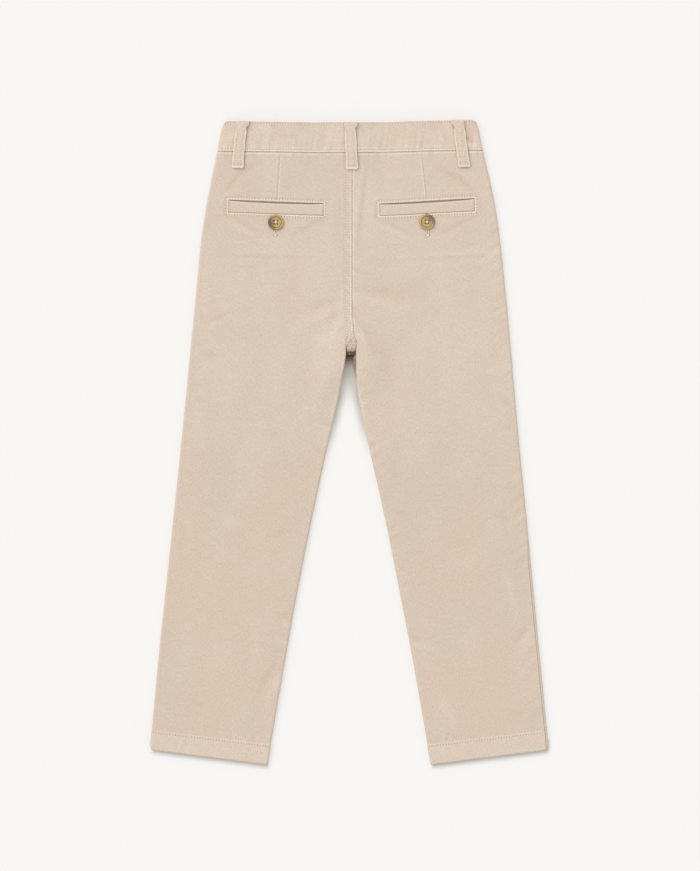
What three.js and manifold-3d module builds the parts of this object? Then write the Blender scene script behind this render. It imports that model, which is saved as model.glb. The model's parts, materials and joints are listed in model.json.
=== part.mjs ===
// Child's chino trousers, laid flat with the back up. Millimetres, +Z up, waist towards +Y.
// A point in plan is given by x, from the centre seam to the wearer's right, and by its drop,
// the distance below the waistband's top edge. Left and right are the wearer's.
import * as THREE from "three";
import { mergeVertices } from "three/addons/utils/BufferGeometryUtils.js";
import Module from "manifold-3d";

const wasm = await Module();
wasm.setup();

// Driving dimensions
const sideLength = 627.7; // waistband top to hem along the outer edge
const hemSlant = 15; // how much lower the hem is at the inseam
const crotch = 225; // waistband top to crotch
const cloth = 1.0; // wall of single cloth
const seam = 0.3; // gap between sewn pieces
const bandHeight = 30.2;
const bandWall = 1.6; // doubled, interlined waistband
const hemDepth = 20;
const hemWall = 1.8; // turned-up hem
const loopWidth = 11; // wider at the folded ends
const loopLength = 47.3;
const loopWall = 1.2;
const beltGap = 0.9; // under the middle of a belt loop
const frontLoopX = 62;
const buttonDiameter = 15.5;
const buttonHeight = 2.5;
const buttonDrop = 101.2; // pocket button, below the waistband's top edge
const pocketX = { left: 73.9, right: 76.9 }; // centre of a back pocket
const pocketDrop = 86.3;
const pocketLength = 94.5;
const pocketHeight = 12.4;
const pocketMouth = 1.5; // open slit along the welt's top
const pocketTilt = { left: 1.5, right: 2.2 }; // degrees, lower at its inner end
const flyLength = 118;
const flyLap = 2; // left fly edge past the centre
const flyUnderlap = 8; // right front past the centre, behind the left one
const frontMouthX = 94.5; // front pocket mouth at the waist seam
const frontMouthDrop = 144; // front pocket mouth at the side seam
const fellWidth = 7.8; // felled seat seam
const fellWall = 0.8;
const buttonLift = 2.8; // the waistband lies this high over the waist button
const loopLift = 2.0; // and this high over a front belt loop
const crotchBulk = 4.4; // the seams that meet at the crotch hold the legs' inner edges up
const underlay = cloth + seam; // how far a piece behind another is set back

// Outline of the laid-out trousers: a row for each cross-section, which starts at the outer edge
// at "drop". The outer and inner columns are distances from the centre for the wearer's left and
// right leg, "edge" is the radius of the folded edges and "crown" how far the middle rises.
const outline = table(
  ["drop", "outerLeft", "outerRight", "innerLeft", "innerRight", "edge", "crown"],
  [
    [0, 126.3, 126.4, 3.9, 5.9, 3.0, 0.5],
    [30, 132.5, 132.5, 3.9, 5.9, 3.0, 0.5],
    [59, 138.5, 139.5, 3.9, 5.9, 2.75, 0.5],
    [89, 144.3, 145.5, 3.9, 5.9, 2.65, 0.5],
    [119, 148.6, 149.8, 3.9, 5.9, 2.6, 0.5],
    [179, 154.5, 156.2, 3.9, 5.9, 2.5, 0.5],
    [229, 159.5, 160.7, 3.9, 5.9, 2.4, 0.6],
    [240, 160.5, 161.8, 4.9, 6.0, 2.4, 0.6],
    [255, 162.0, 163.0, 7.6, 6.4, 2.4, 0.6],
    [268, 163.2, 164.2, 9.9, 7.6, 2.4, 0.6],
    [283, 164.7, 165.5, 13.2, 10.1, 2.4, 0.6],
    [325, 169.0, 169.2, 23.3, 19.6, 2.4, 0.6],
    [395, 176.3, 176.2, 38.9, 35.9, 2.4, 0.5],
    [465, 183.8, 182.9, 53.2, 50.3, 2.4, 0.5],
    [535, 191.2, 189.6, 66.2, 64.2, 2.4, 0.4],
    [628, 199.8, 198.7, 82.6, 80.7, 2.4, 0.2],
  ],
);

// Largest soft folds of the back, as ridges (height above 0) and troughs. Each has its middle,
// its direction from straight down, its length and width.
const folds = table(
  ["x", "drop", "turn", "length", "width", "height"],
  [
    [-118, 190, 35, 70, 20, 0.35],
    [-128, 226, 30, 60, 16, -0.3],
    [112, 196, -35, 75, 22, 0.3],
    [-40, 205, -50, 60, 18, 0.3],
    [44, 208, 50, 60, 18, 0.3],
    [-95, 330, 8, 120, 26, 0.35],
    [100, 340, -10, 130, 28, 0.35],
    [-120, 455, 12, 110, 22, -0.3],
    [118, 470, -14, 120, 24, 0.3],
    [-140, 560, 10, 90, 24, 0.3],
    [132, 565, -8, 100, 24, -0.3],
  ],
);

// Where each back belt loop sits: its middle at the top and at the bottom
const backLoops = table(
  ["name", "topX", "bottomX"],
  [
    ["left", -107.8, -112.3],
    ["centre", 0.0, 1.9],
    ["right", 106.7, 114],
  ],
);

// Rows of cross-sections, by drop
const seatRows = [45, 60, 80, 105, 135, 170, 200];
const legRows = [236, 250, 268, 288, 320, 365, 415, 440, 485, 535, 580];
const backCrotchRows = [210, 213, 216, 219, 222, 226];
const frontFlyRows = [flyLength - 3, flyLength + 4, flyLength + 10];
const frontCrotchRows = [226, 230, 233, 236, 239];

// Distances along a panel from its edges, where its cross-section needs points: the folded edges
// are quarter circles that take up the first 4 mm
const fineFromEdge = [0, 1.25, 2.5, 3.75];

function table(columns, rows) {
  return rows.map((row) => Object.fromEntries(columns.map((name, i) => [name, row[i]])));
}

// 0 below 0, 1 above 1, with level ends
function ease(t) {
  const held = Math.min(1, Math.max(0, t));
  return held * held * (3 - 2 * held);
}

function mix(a, b, t) {
  return a + (b - a) * t;
}

// A smooth curve through one column of the outline, by drop
function outlineAt(key, drop) {
  const last = outline.length - 1;
  let i = 0;
  while (i < last - 1 && outline[i + 1].drop < drop) i += 1;
  const slope = (a, b) => (outline[b][key] - outline[a][key]) / (outline[b].drop - outline[a].drop);
  const span = outline[i + 1].drop - outline[i].drop;
  const t = (drop - outline[i].drop) / span;
  const before = slope(Math.max(0, i - 1), i + 1) * span;
  const after = slope(i, Math.min(last, i + 2)) * span;
  return (
    outline[i][key] * (2 * t ** 3 - 3 * t ** 2 + 1) +
    before * (t ** 3 - 2 * t ** 2 + t) +
    outline[i + 1][key] * (3 * t ** 2 - 2 * t ** 3) +
    after * (t ** 3 - t ** 2)
  );
}

function capital(side) {
  return side === "left" ? "Left" : "Right";
}

// How far the front is held up over the waist button and the front belt loops
function lift(x, drop) {
  const button =
    buttonLift * (1 - ease((Math.abs(x) - 9) / 28)) * (1 - ease((drop - 26) / 24));
  const loop =
    loopLift *
    (1 - ease((Math.abs(Math.abs(x) - frontLoopX) - 7) / 22)) *
    (1 - ease((drop - loopLength - 3) / 30));
  return Math.max(button, loop);
}

function foldHeight(x, drop) {
  return folds.reduce((sum, fold) => {
    const turn = THREE.MathUtils.degToRad(fold.turn);
    const dx = x - fold.x;
    const dy = drop - fold.drop;
    const along = dx * Math.sin(turn) + dy * Math.cos(turn);
    const across = dx * Math.cos(turn) - dy * Math.sin(turn);
    const fade = (along / fold.length) ** 2 * 4 + (across / fold.width) ** 2 * 2;
    return sum + fold.height * Math.exp(-fade);
  }, 0);
}

// The cross-section of one side at a drop. In the seat its inner end lies at the centre seam;
// at the crotch it opens into the leg's own folded inner edge, over the given stretch of drops.
const backOpens = { from: 209, over: 12 };
const frontOpens = { from: 226, over: 12 };

// How much fuller the inner edge is near the crotch
function bulkAt(drop) {
  return crotchBulk * ease((drop - 168) / 55) * (1 - ease((drop - 243) / 42));
}

function section(side, drop, opens) {
  const opened = ease((drop - opens.from) / opens.over);
  const edge = outlineAt("edge", drop);
  const inner = mix(seam / 2, outlineAt("inner" + capital(side), drop), opened);
  const outer = outlineAt("outer" + capital(side), drop);
  const slant = (hemSlant * Math.max(0, drop - crotch)) / (sideLength - crotch);
  const across = Math.hypot(outer - inner, slant);
  const sign = side === "left" ? -1 : 1;
  return {
    drop,
    sign,
    outer,
    edge,
    bulk: bulkAt(drop),
    fold: (edge + bulkAt(drop) / 2) * opened,
    opened,
    across,
    crown: outlineAt("crown", drop),
    inwardX: (-sign * (outer - inner)) / across,
    inwardDrop: slant / across,
  };
}

// Length of a section's skin from the outer edge's equator to its inner end
function skinLength(s) {
  return s.across + (s.edge + s.fold) * (Math.PI / 2 - 1);
}

// Where the middle of the felled seat seam lies: the sewing line it is felled to is left of it
function seatSeamX(drop) {
  return mix(-1, 1, ease((drop - 185) / 38));
}

// Height of the back's outer surface above the floor
function topHeight(s, inward, x, drop) {
  const fromOuter = ease(inward / 40);
  const fromInner = mix(1, ease((s.across - inward) / 30), ease((drop - 150) / 70));
  const nearCentre = Math.abs(x - seatSeamX(drop)) - fellWidth / 2 - 0.4;
  const groove = fellWall * (1 - ease(nearCentre / 2)) * (1 - s.opened);
  const shape = s.crown + foldHeight(x, drop) * fromInner;
  const bulk = s.bulk * (1 - ease((s.across - inward - 5) / 34));
  const level = 2 * s.edge + bulk - groove;
  return level + fromOuter * (fromInner * shape + 0.7 * lift(x, drop));
}

// A point of the outer skin at a length from the outer edge's equator, counted over the back, or
// under the front where the length is negative. "back" is how far it is set back into the wall.
function skin(s, length, back = 0) {
  const quarter = (s.edge * Math.PI) / 2;
  const total = skinLength(s);
  const far = Math.abs(length);
  const fromInner = total - far;
  let inward = s.edge + far - quarter;
  let rise = 0;
  let tilt = 0; // of the normal, away from the section's middle
  if (far < quarter) {
    const angle = far / s.edge;
    inward = s.edge * (1 - Math.cos(angle));
    rise = s.edge * (Math.sin(angle) - 1);
    tilt = -Math.cos(angle);
  } else if (s.fold > 0 && fromInner < (s.fold * Math.PI) / 2) {
    const angle = fromInner / s.fold;
    inward = s.across - s.fold * (1 - Math.cos(angle));
    rise = s.fold * (Math.sin(angle) - 1);
    tilt = Math.cos(angle);
  }
  const upright = Math.sqrt(1 - tilt * tilt);
  const x = s.sign * s.outer + s.inwardX * inward;
  const drop = s.drop + s.inwardDrop * inward;
  const level = length >= 0 ? topHeight(s, inward, x, drop) + rise : lift(x, drop) - rise;
  const up = length >= 0 ? 1 : -1;
  return at(
    x - s.inwardX * tilt * back,
    drop - s.inwardDrop * tilt * back,
    level - up * upright * back,
  );
}

// How much lower than its drop a point lies: the waist line is higher at its ends
function sag(x, drop) {
  const ends = 1.5 * ease((-x - 30) / 105) + 2.6 * ease((x - 10) / 125);
  return (1.15 - ends) * (1 - ease((drop - 40) / 110));
}

function at(x, drop, z) {
  return new THREE.Vector3(x, -drop - sag(x, drop), z);
}

// Height of the back's outer surface over a point in plan
function backHeight(x, drop) {
  const s = section(x < 0 ? "left" : "right", drop, backOpens);
  return topHeight(s, s.outer - Math.abs(x), x, drop);
}

function geometryOf(points, faces) {
  const geometry = new THREE.BufferGeometry();
  geometry.setAttribute(
    "position",
    new THREE.Float32BufferAttribute(
      points.flatMap((p) => [p.x, p.y, p.z]),
      3,
    ),
  );
  geometry.setIndex(faces.flat());
  return geometry;
}

// Six times the volume inside a closed list of faces: its sign says which way they point
function signedVolume(points, faces) {
  return faces.reduce(
    (sum, [a, b, c]) => sum + points[a].dot(points[b].clone().cross(points[c])),
    0,
  );
}

// A closed wall between two grids of points with the same rows and columns
function wall(outer, inner) {
  const rows = outer.length;
  const columns = outer[0].length;
  const points = [...outer.flat(), ...inner.flat()];
  const index = (layer, i, j) => (layer * rows + i) * columns + j;
  const faces = [];
  const quad = (a, b, c, d) => faces.push([a, b, c], [a, c, d]);
  for (let i = 0; i < rows - 1; i += 1) {
    for (let j = 0; j < columns - 1; j += 1) {
      quad(index(0, i, j), index(0, i, j + 1), index(0, i + 1, j + 1), index(0, i + 1, j));
      quad(index(1, i, j), index(1, i + 1, j), index(1, i + 1, j + 1), index(1, i, j + 1));
    }
    quad(index(0, i, 0), index(0, i + 1, 0), index(1, i + 1, 0), index(1, i, 0));
    const j = columns - 1;
    quad(index(0, i, j), index(1, i, j), index(1, i + 1, j), index(0, i + 1, j));
  }
  for (let j = 0; j < columns - 1; j += 1) {
    quad(index(0, 0, j), index(1, 0, j), index(1, 0, j + 1), index(0, 0, j + 1));
    const i = rows - 1;
    quad(index(0, i, j), index(0, i, j + 1), index(1, i, j + 1), index(1, i, j));
  }
  const outward = signedVolume(points, faces) > 0;
  return geometryOf(points, outward ? faces : faces.map(([a, b, c]) => [a, c, b]));
}

function solidOf(geometry) {
  const plain = geometry.clone();
  plain.deleteAttribute("normal");
  plain.deleteAttribute("uv");
  const merged = mergeVertices(plain, 1e-4);
  return new wasm.Manifold(
    new wasm.Mesh({
      numProp: 3,
      vertProperties: new Float32Array(merged.attributes.position.array),
      triVerts: new Uint32Array(merged.index.array),
    }),
  );
}

function fromSolid(solid) {
  const mesh = solid.getMesh();
  const geometry = new THREE.BufferGeometry();
  geometry.setAttribute("position", new THREE.BufferAttribute(mesh.vertProperties, 3));
  geometry.setIndex(new THREE.BufferAttribute(mesh.triVerts, 1));
  return geometry;
}

function cut(geometry, ...tools) {
  const left = tools.reduce((solid, tool) => solid.subtract(solidOf(tool)), solidOf(geometry));
  return fromSolid(left);
}

// An upright prism over a polygon of [x, drop] points
function prism(corners, low, high) {
  const points = corners.map(([x, drop]) => at(x, drop, 0));
  const shape = new THREE.Shape(points.map((p) => new THREE.Vector2(p.x, p.y)));
  const body = new THREE.ExtrudeGeometry(shape, { depth: high - low, bevelEnabled: false });
  return body.translate(0, 0, low);
}

function signOf(side) {
  return side === "left" ? -1 : 1;
}

// Evenly spaced lengths between two given ones, without them
function between(from, to, count) {
  return Array.from({ length: count }, (_, i) => mix(from, to, (i + 1) / (count + 1)));
}

// Wall thickness at a drop: doubled where the hem is turned up
function wallAt(drop) {
  return drop > sideLength - hemDepth ? hemWall : cloth;
}

const hemRows = [sideLength - hemDepth - 0.4, sideLength - hemDepth + 0.4, sideLength];

// How far the side seam lies over the back, from the outer edge: the right front comes round the
// lower leg's edge
function sideSeam(side, drop) {
  return side === "right" ? 3.9 * ease((drop - 385) / 60) : 0;
}

// The window for a back pocket's welt, or the welt itself with a margin of its own
function pocketCorner(side, along, down) {
  const sign = signOf(side);
  const tilt = THREE.MathUtils.degToRad(pocketTilt[side]);
  const x = sign * (pocketX[side] + along * Math.cos(tilt) + down * Math.sin(tilt));
  return [x, pocketDrop - along * Math.sin(tilt) + down * Math.cos(tilt)];
}

function pocketWindow(side) {
  const l = pocketLength / 2;
  const h = pocketHeight / 2;
  const corners = [[-l, -h], [l, -h], [l, h], [-l, h]].map(([a, d]) => pocketCorner(side, a, d));
  return prism(corners, 2.6, 12);
}

function backPanel(side) {
  const drops = [bandHeight + seam, ...seatRows, ...backCrotchRows, ...legRows, ...hemRows];
  const innerSteps = [18, 9, 5.3, ...fineFromEdge.slice(1).reverse(), 0];
  const rows = drops.map((drop) => {
    const s = section(side, drop, backOpens);
    const start = sideSeam(side, drop) + seam / 2;
    const end = skinLength(s) - (s.opened * seam) / 2;
    const outerPart = fineFromEdge.map((d) => start + d);
    const innerPart = innerSteps.map((d) => end - d);
    const lengths = [...outerPart, ...between(outerPart.at(-1), innerPart[0], 7), ...innerPart];
    return {
      outer: lengths.map((length) => skin(s, length)),
      inner: lengths.map((length) => skin(s, length, wallAt(drop))),
    };
  });
  const whole = wall(
    rows.map((row) => row.outer),
    rows.map((row) => row.inner),
  );
  return cut(whole, pocketWindow(side));
}

// Where a front panel ends at the fly: the distance past the centre, towards the other side
function flyEdge(side, drop) {
  const past = side === "left" ? flyLap : flyUnderlap;
  return (past + seam / 2) * (1 - ease((drop - flyLength + 3) / 7));
}

// The right front is set back behind the left one at the fly
function flySetBack(side, x, drop) {
  if (side === "left") return 0;
  return underlay * (1 - ease((x - flyLap - 0.4) / 5)) * (1 - ease((drop - flyLength - 4) / 6));
}

function frontPanel(side) {
  const upper = seatRows.filter((drop) => drop < flyLength - 3);
  const lower = seatRows.filter((drop) => drop > flyLength + 10);
  const drops = [bandHeight + seam, ...upper, ...frontFlyRows, ...lower];
  drops.push(...frontCrotchRows, ...legRows.filter((drop) => drop > 239), ...hemRows);
  const outerSteps = [...fineFromEdge, 5.1, 6.4, 7.7, 13];
  const innerSteps = [24, 15.4, 12.9, 10.4, ...fineFromEdge.slice(1).reverse(), 0];
  const rows = drops.map((drop) => {
    const s = section(side, drop, frontOpens);
    const start = sideSeam(side, drop) - seam / 2;
    const end = skinLength(s) + flyEdge(side, drop) - (s.opened * seam) / 2;
    const outerPart = outerSteps.map((d) => start - d);
    const innerPart = innerSteps.map((d) => d - end);
    const lengths = [...outerPart, ...between(outerPart.at(-1), innerPart[0], 5), ...innerPart];
    const points = (back) =>
      lengths.map((length) => {
        const p = skin(s, length, back);
        p.z += length < 0 ? flySetBack(side, p.x, drop) : 0;
        return p;
      });
    return { outer: points(0), inner: points(wallAt(drop)) };
  });
  const whole = wall(
    rows.map((row) => row.outer),
    rows.map((row) => row.inner),
  );
  const sign = signOf(side);
  const corners = [
    [sign * frontMouthX, bandHeight - 1],
    [sign * mouthX(frontMouthDrop + 12), frontMouthDrop + 12],
    [sign * 190, frontMouthDrop + 12],
    [sign * 190, bandHeight - 1],
  ];
  return cut(whole, prism(corners, -1, 4.5));
}

// The front pocket's mouth: its distance from the centre at a drop
function mouthX(drop) {
  const sideX = outlineAt("outerLeft", frontMouthDrop);
  return mix(frontMouthX, sideX, (drop - bandHeight) / (frontMouthDrop - bandHeight));
}

// The cloth seen in a front pocket's mouth: level with the panel at the side, behind it at the
// mouth, and on past the mouth's edge by the overlap
function frontBearer(side) {
  const overlap = 12;
  const drops = [bandHeight + seam, 55, 80, 105, 130, 145, 158];
  const rows = drops.map((drop) => {
    const s = section(side, drop, frontOpens);
    const span = s.outer - mouthX(drop) + overlap;
    const toFlat = (s.edge * Math.PI) / 2 - s.edge;
    const lengths = [0, 1.25, 2.5, 3.75].map((d) => -seam / 2 - d);
    const end = -(span + toFlat);
    lengths.push(...between(lengths.at(-1), end + 0.5, 6), end);
    const points = (back) =>
      lengths.map((length) => {
        const plan = skin(s, length);
        const fromMouth = Math.abs(plan.x) - mouthX(drop);
        const set = underlay * (1 - ease((fromMouth - 2) / 9));
        return skin(s, length, set + back);
      });
    return { outer: points(0), inner: points(cloth) };
  });
  return wall(
    rows.map((row) => row.outer),
    rows.map((row) => row.inner),
  );
}

// A flat piece on or behind the back: its outer and inner faces are offsets from the back's
// outer surface. The plan function gives [x, drop] for an across and a down position.
function onBack(plan, across, down, outerOffset, innerOffset) {
  const grid = (offset) =>
    down.map((d) =>
      across.map((a) => {
        const [x, drop] = plan(a, d);
        return at(x, drop, backHeight(x, drop) + offset(a, d));
      }),
    );
  return wall(grid(outerOffset), grid(innerOffset));
}

function pocketWelt(side) {
  const l = pocketLength / 2 - seam;
  const top = -pocketHeight / 2 + pocketMouth;
  const bottom = pocketHeight / 2 - seam;
  const across = [-l, -l + 1, ...between(-l + 1, l - 1, 4), l - 1, l];
  const down = [top, top + 0.8, bottom - 1.6, bottom];
  const rim = (a, d) => (Math.abs(a) > l - 0.5 || d > bottom - 0.5 || d < top + 0.5 ? 0 : 0.5);
  const plan = (a, d) => pocketCorner(side, a, d);
  return onBack(plan, across, down, rim, () => -cloth);
}

function pocketBearerBack(side) {
  const l = pocketLength / 2 + 3;
  const h = pocketHeight / 2 + 6;
  const across = [-l, ...between(-l, l, 4), l];
  const plan = (a, d) => pocketCorner(side, a, d);
  return onBack(
    plan,
    across,
    [-h, 0, h],
    () => -underlay,
    () => -underlay - cloth,
  );
}

// The waistband: one strip that starts at its left end, under the centre front, and runs over the
// left edge, the back and the right edge to its right end, behind the left one
function waistband() {
  const overlap = 11; // left end past the centre
  const underlap = 25; // right end past the centre
  const rise = 0.3; // it stands this much prouder than the panels
  const drops = [0, 1, bandHeight - 1, bandHeight];
  const softEdge = [0.4, 0, 0, 0.4];
  const frontXs = [112, 95, 84, 73, 62, 51, 40, 30, 24, 12.5];
  const backXs = [112, 90, 70, 45, 20];
  const arcLengths = [-5, -3.5, -2, -0.7, 0.7, 2, 3.5, 5];
  const ring = (drop, back) => {
    // the rise fades out round the folded edges, so that the front lies flat
    const risen = (length) => back - rise * Math.min(1, Math.max(0, 1 + length / 5));
    const half = (side) => {
      const s = section(side, drop, backOpens);
      const flat = (x) => s.outer - s.edge - x + (s.edge * Math.PI) / 2;
      return {
        under: frontXs.map((x) => skin(s, -flat(x), back)),
        arc: arcLengths.map((length) => skin(s, length, risen(length))),
        over: backXs.map((x) => skin(s, flat(x), back - rise)),
      };
    };
    const left = half("left");
    const right = half("right");
    const centre = backHeight(20, drop) + 0.7 * (lift(0, drop) - lift(20, drop)) - back + rise;
    const leftEnd = [overlap, 0].map((x) => at(x, drop, lift(x, drop) + back));
    const rightEnd = [12.5, 0, -underlap].map((x) =>
      at(x, drop, buttonLift * (1 - ease((drop - 26) / 24)) + bandWall + seam + back),
    );
    return [
      ...leftEnd,
      ...left.under.reverse(),
      ...left.arc,
      ...left.over,
      at(0, drop, centre),
      ...right.over.reverse(),
      ...right.arc.reverse(),
      ...right.under.slice(0, -1),
      ...rightEnd,
    ];
  };
  return wall(
    drops.map((drop, i) => ring(drop, softEdge[i])),
    drops.map((drop, i) => ring(drop, bandWall - softEdge[i])),
  );
}

// The loop spreads at its folded top end, and at its lower end down to two rounded corners
function loopWidthAt(drop) {
  const top = 2.6 * (1 - ease((drop - 5) / 2.5));
  const foot = 1.3 * ease((drop - loopLength + 7) / 4);
  const corners = 1.8 * ease((drop - loopLength + 2.2) / 1.2);
  return loopWidth + top + foot - corners;
}

// A belt loop: a strip from the waistband's top edge past the waist seam, doubled and sewn down
// at its ends and clear of the waistband between them
function beltLoop(topX, bottomX, outerAt, innerAt) {
  const fromEnd = [12, 9.5, 7, 3.2, 1.9, 1];
  const downs = [-1, 0.2, 4.5, 7.5, 10, 24, ...fromEnd.map((d) => loopLength - d)];
  const across = [-0.5, -0.42, 0.42, 0.5];
  const grid = (height, round) =>
    downs.map((drop) =>
      across.map((a, j) => {
        const x = mix(topX, bottomX, drop / loopLength) + a * loopWidthAt(drop);
        const soft = j === 0 || j === 3 ? round : 0;
        return at(x, drop, height(x, drop, soft));
      }),
    );
  return wall(grid(outerAt, 0.35), grid(innerAt, 0));
}

// 1 where the loop is free of the waistband, 0 at its sewn ends
function loopFree(drop) {
  return ease((drop - 5) / 5) * ease((loopLength - 7 - drop) / 5);
}

function backLoop({ topX, bottomX }) {
  const rise = 0.3 + seam; // the waistband's own rise, and the gap
  const base = (drop) => {
    const middle = mix(topX, bottomX, drop / loopLength);
    const clear = middle + (Math.abs(middle) < 20 ? 12 : 0); // beside the centre seam's groove
    const held = Math.max(0, drop);
    return backHeight(clear, held) + 0.7 * (lift(middle, held) - lift(clear, held)) + rise;
  };
  const outer = (x, drop, soft) => {
    const end = 0.6 * ease((2 - drop) / 3) + 0.6 * ease((drop - loopLength + 4) / 3);
    return base(drop) + beltGap + loopWall - end - soft;
  };
  const inner = (x, drop) => base(drop) + beltGap * loopFree(drop);
  return beltLoop(topX, bottomX, outer, inner);
}

function frontLoop(side) {
  const x = signOf(side) * frontLoopX;
  const outer = (_, drop, soft) => 0.35 * ease((1 - drop) / 2) + soft;
  const inner = (_, drop) => mix(loopLift - 0.6, loopWall, loopFree(drop));
  return beltLoop(x, x, outer, inner);
}

// The felled seat seam: a strip over the centre back that widens and turns down between the legs
function seatSeam() {
  const turnFrom = 214;
  const turnOver = 20;
  const end = 2.3; // height above the floor that it turns down to
  const drops = [bandHeight + seam, 50, 75, 105, 140, 175, 205, turnFrom];
  drops.push(...[0.22, 0.42, 0.6, 0.75, 0.87, 0.94, 0.985].map((t) => turnFrom + turnOver * t));
  const across = [-0.5, -0.4, 0.4, 0.5].map((a) => a * fellWidth);
  const grid = (layer) =>
    drops.map((drop) => {
      const along = Math.max(0, (drop - turnFrom) / turnOver);
      const wide = mix(1, 1.16, ease((drop - 215) / 7)) * mix(1, 0.83, ease((drop - 226) / 8));
      const middle = seatSeamX(drop); // at the turn, halfway between the legs' folded edges
      const held = backHeight(12, Math.min(drop, 168)) + 0.7 * (lift(0, drop) - lift(12, drop));
      const level = held + bulkAt(Math.min(drop, 222)) - 0.3 * ease((drop - 168) / 37);
      const turned = Math.sqrt(1 - along * along);
      return across.map((a, j) => {
        const soft = layer === 0 && (j === 0 || j === 3) ? 0.3 : 0;
        const surface = level + seam - soft - layer * fellWall;
        const z = mix(end - soft - layer * fellWall, surface, turned);
        return at(middle + a * wide, drop, z);
      });
    });
  return wall(grid(0), grid(1));
}

// A round button with a raised rim and four holes, its back at height 0
function button() {
  const r = buttonDiameter / 2;
  const h = buttonHeight;
  const profile = [
    [0, 0],
    [r - 1.6, 0],
    [r, h * 0.45],
    [r - 0.5, h * 0.92],
    [r - 1.3, h],
    [r - 2.7, h * 0.72],
    [0, h * 0.66],
  ].map(([x, y]) => new THREE.Vector2(x, y));
  const body = new THREE.LatheGeometry(profile, 24).rotateX(Math.PI / 2);
  const spacing = 1.6;
  const holes = [-1, 1].flatMap((i) =>
    [-1, 1].map((j) =>
      new THREE.CylinderGeometry(0.75, 0.75, 3 * h, 6)
        .rotateX(Math.PI / 2)
        .translate(i * spacing, j * spacing, 0),
    ),
  );
  return cut(body, ...holes);
}

const clothMaterial = { color: 0xdac9b7, roughness: 0.92, metalness: 0 };
const hornMaterial = { color: 0x8a7650, roughness: 0.45, metalness: 0 };

const trousers = new THREE.Group();

function add(name, geometry, finish = clothMaterial) {
  const mesh = new THREE.Mesh(geometry, new THREE.MeshStandardMaterial(finish));
  mesh.name = name;
  trousers.add(mesh);
  return mesh;
}

for (const side of ["left", "right"]) {
  add(`back_panel_${side}`, backPanel(side));
  add(`front_panel_${side}`, frontPanel(side));
  add(`pocket_welt_${side}`, pocketWelt(side));
  add(`pocket_bearer_back_${side}`, pocketBearerBack(side));
  add(`pocket_bearer_front_${side}`, frontBearer(side));
  add(`belt_loop_front_${side}`, frontLoop(side));
  const x = signOf(side) * pocketX[side];
  const pocketButton = add(`pocket_button_${side}`, button(), hornMaterial);
  pocketButton.position.copy(at(x, buttonDrop, backHeight(x, buttonDrop) + seam));
}
add("waistband", waistband());
for (const loop of backLoops) add(`belt_loop_back_${loop.name}`, backLoop(loop));
add("seat_seam", seatSeam());
const waistButton = add("waist_button", button(), hornMaterial);
waistButton.rotation.x = Math.PI;
waistButton.position.copy(at(0, bandHeight / 2, buttonHeight));

// The origin is the middle of the outline's box, on the floor
trousers.updateMatrixWorld(true);
const box = new THREE.Box3().setFromObject(trousers, true);
const middle = box.getCenter(new THREE.Vector3());
trousers.position.set(-middle.x, -middle.y, -box.min.z);

export default trousers;
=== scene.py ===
# %% [markdown]
# # Child's chino trousers, laid flat with the back up
# The trousers are made of twill panels that a tailor cuts, sews and presses: two fronts, two
# backs, a waistband and small pieces for pockets and belt loops. Each piece is worked out here as
# a grid of points with numpy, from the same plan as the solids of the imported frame, and given its
# own creases, stitches and finish. Loading the frame comes first, because every piece rides on
# it.

# %% Load the frame
import json

import bmesh
import bpy
import numpy as np
from mathutils.bvhtree import BVHTree
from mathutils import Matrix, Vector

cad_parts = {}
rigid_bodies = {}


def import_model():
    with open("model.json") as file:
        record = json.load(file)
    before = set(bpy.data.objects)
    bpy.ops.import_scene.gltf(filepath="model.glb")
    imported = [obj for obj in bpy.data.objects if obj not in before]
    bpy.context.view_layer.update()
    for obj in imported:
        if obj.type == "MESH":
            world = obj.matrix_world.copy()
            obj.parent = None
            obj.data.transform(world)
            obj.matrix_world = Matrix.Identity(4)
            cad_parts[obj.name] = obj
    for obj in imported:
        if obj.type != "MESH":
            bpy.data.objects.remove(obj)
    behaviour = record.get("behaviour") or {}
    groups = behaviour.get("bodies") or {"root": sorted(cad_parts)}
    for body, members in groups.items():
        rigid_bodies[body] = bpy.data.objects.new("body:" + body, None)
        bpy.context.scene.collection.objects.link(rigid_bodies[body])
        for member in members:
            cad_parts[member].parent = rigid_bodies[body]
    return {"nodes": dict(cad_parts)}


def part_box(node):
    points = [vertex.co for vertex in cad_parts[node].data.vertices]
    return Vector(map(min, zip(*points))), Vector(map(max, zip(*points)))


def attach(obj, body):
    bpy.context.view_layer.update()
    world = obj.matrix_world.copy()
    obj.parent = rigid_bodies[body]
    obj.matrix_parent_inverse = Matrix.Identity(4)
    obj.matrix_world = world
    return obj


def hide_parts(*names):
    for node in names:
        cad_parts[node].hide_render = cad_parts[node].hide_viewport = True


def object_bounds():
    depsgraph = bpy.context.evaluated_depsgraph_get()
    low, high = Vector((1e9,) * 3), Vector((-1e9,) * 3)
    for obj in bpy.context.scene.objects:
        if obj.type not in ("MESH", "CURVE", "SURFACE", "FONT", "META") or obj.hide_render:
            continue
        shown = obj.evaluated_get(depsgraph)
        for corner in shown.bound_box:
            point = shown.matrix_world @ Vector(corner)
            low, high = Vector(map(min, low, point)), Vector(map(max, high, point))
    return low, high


MM = 0.001  # a millimetre in metres

for leftover in list(bpy.data.objects):
    bpy.data.objects.remove(leftover)
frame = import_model()
cad_box = [[float(v) for v in corner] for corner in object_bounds()]
print("frame:", len(frame["nodes"]), "solids, box in metres", cad_box)

# %% [markdown]
# The plan is in millimetres: x runs from the centre seam to the wearer's right and the drop is
# the distance below the waistband's top edge. The outline of the laid-out trousers is a short
# table, and a smooth curve through each column gives any height. A table is easier to correct
# against a real garment than a drawn curve, because each number is one tape measurement.

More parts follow.
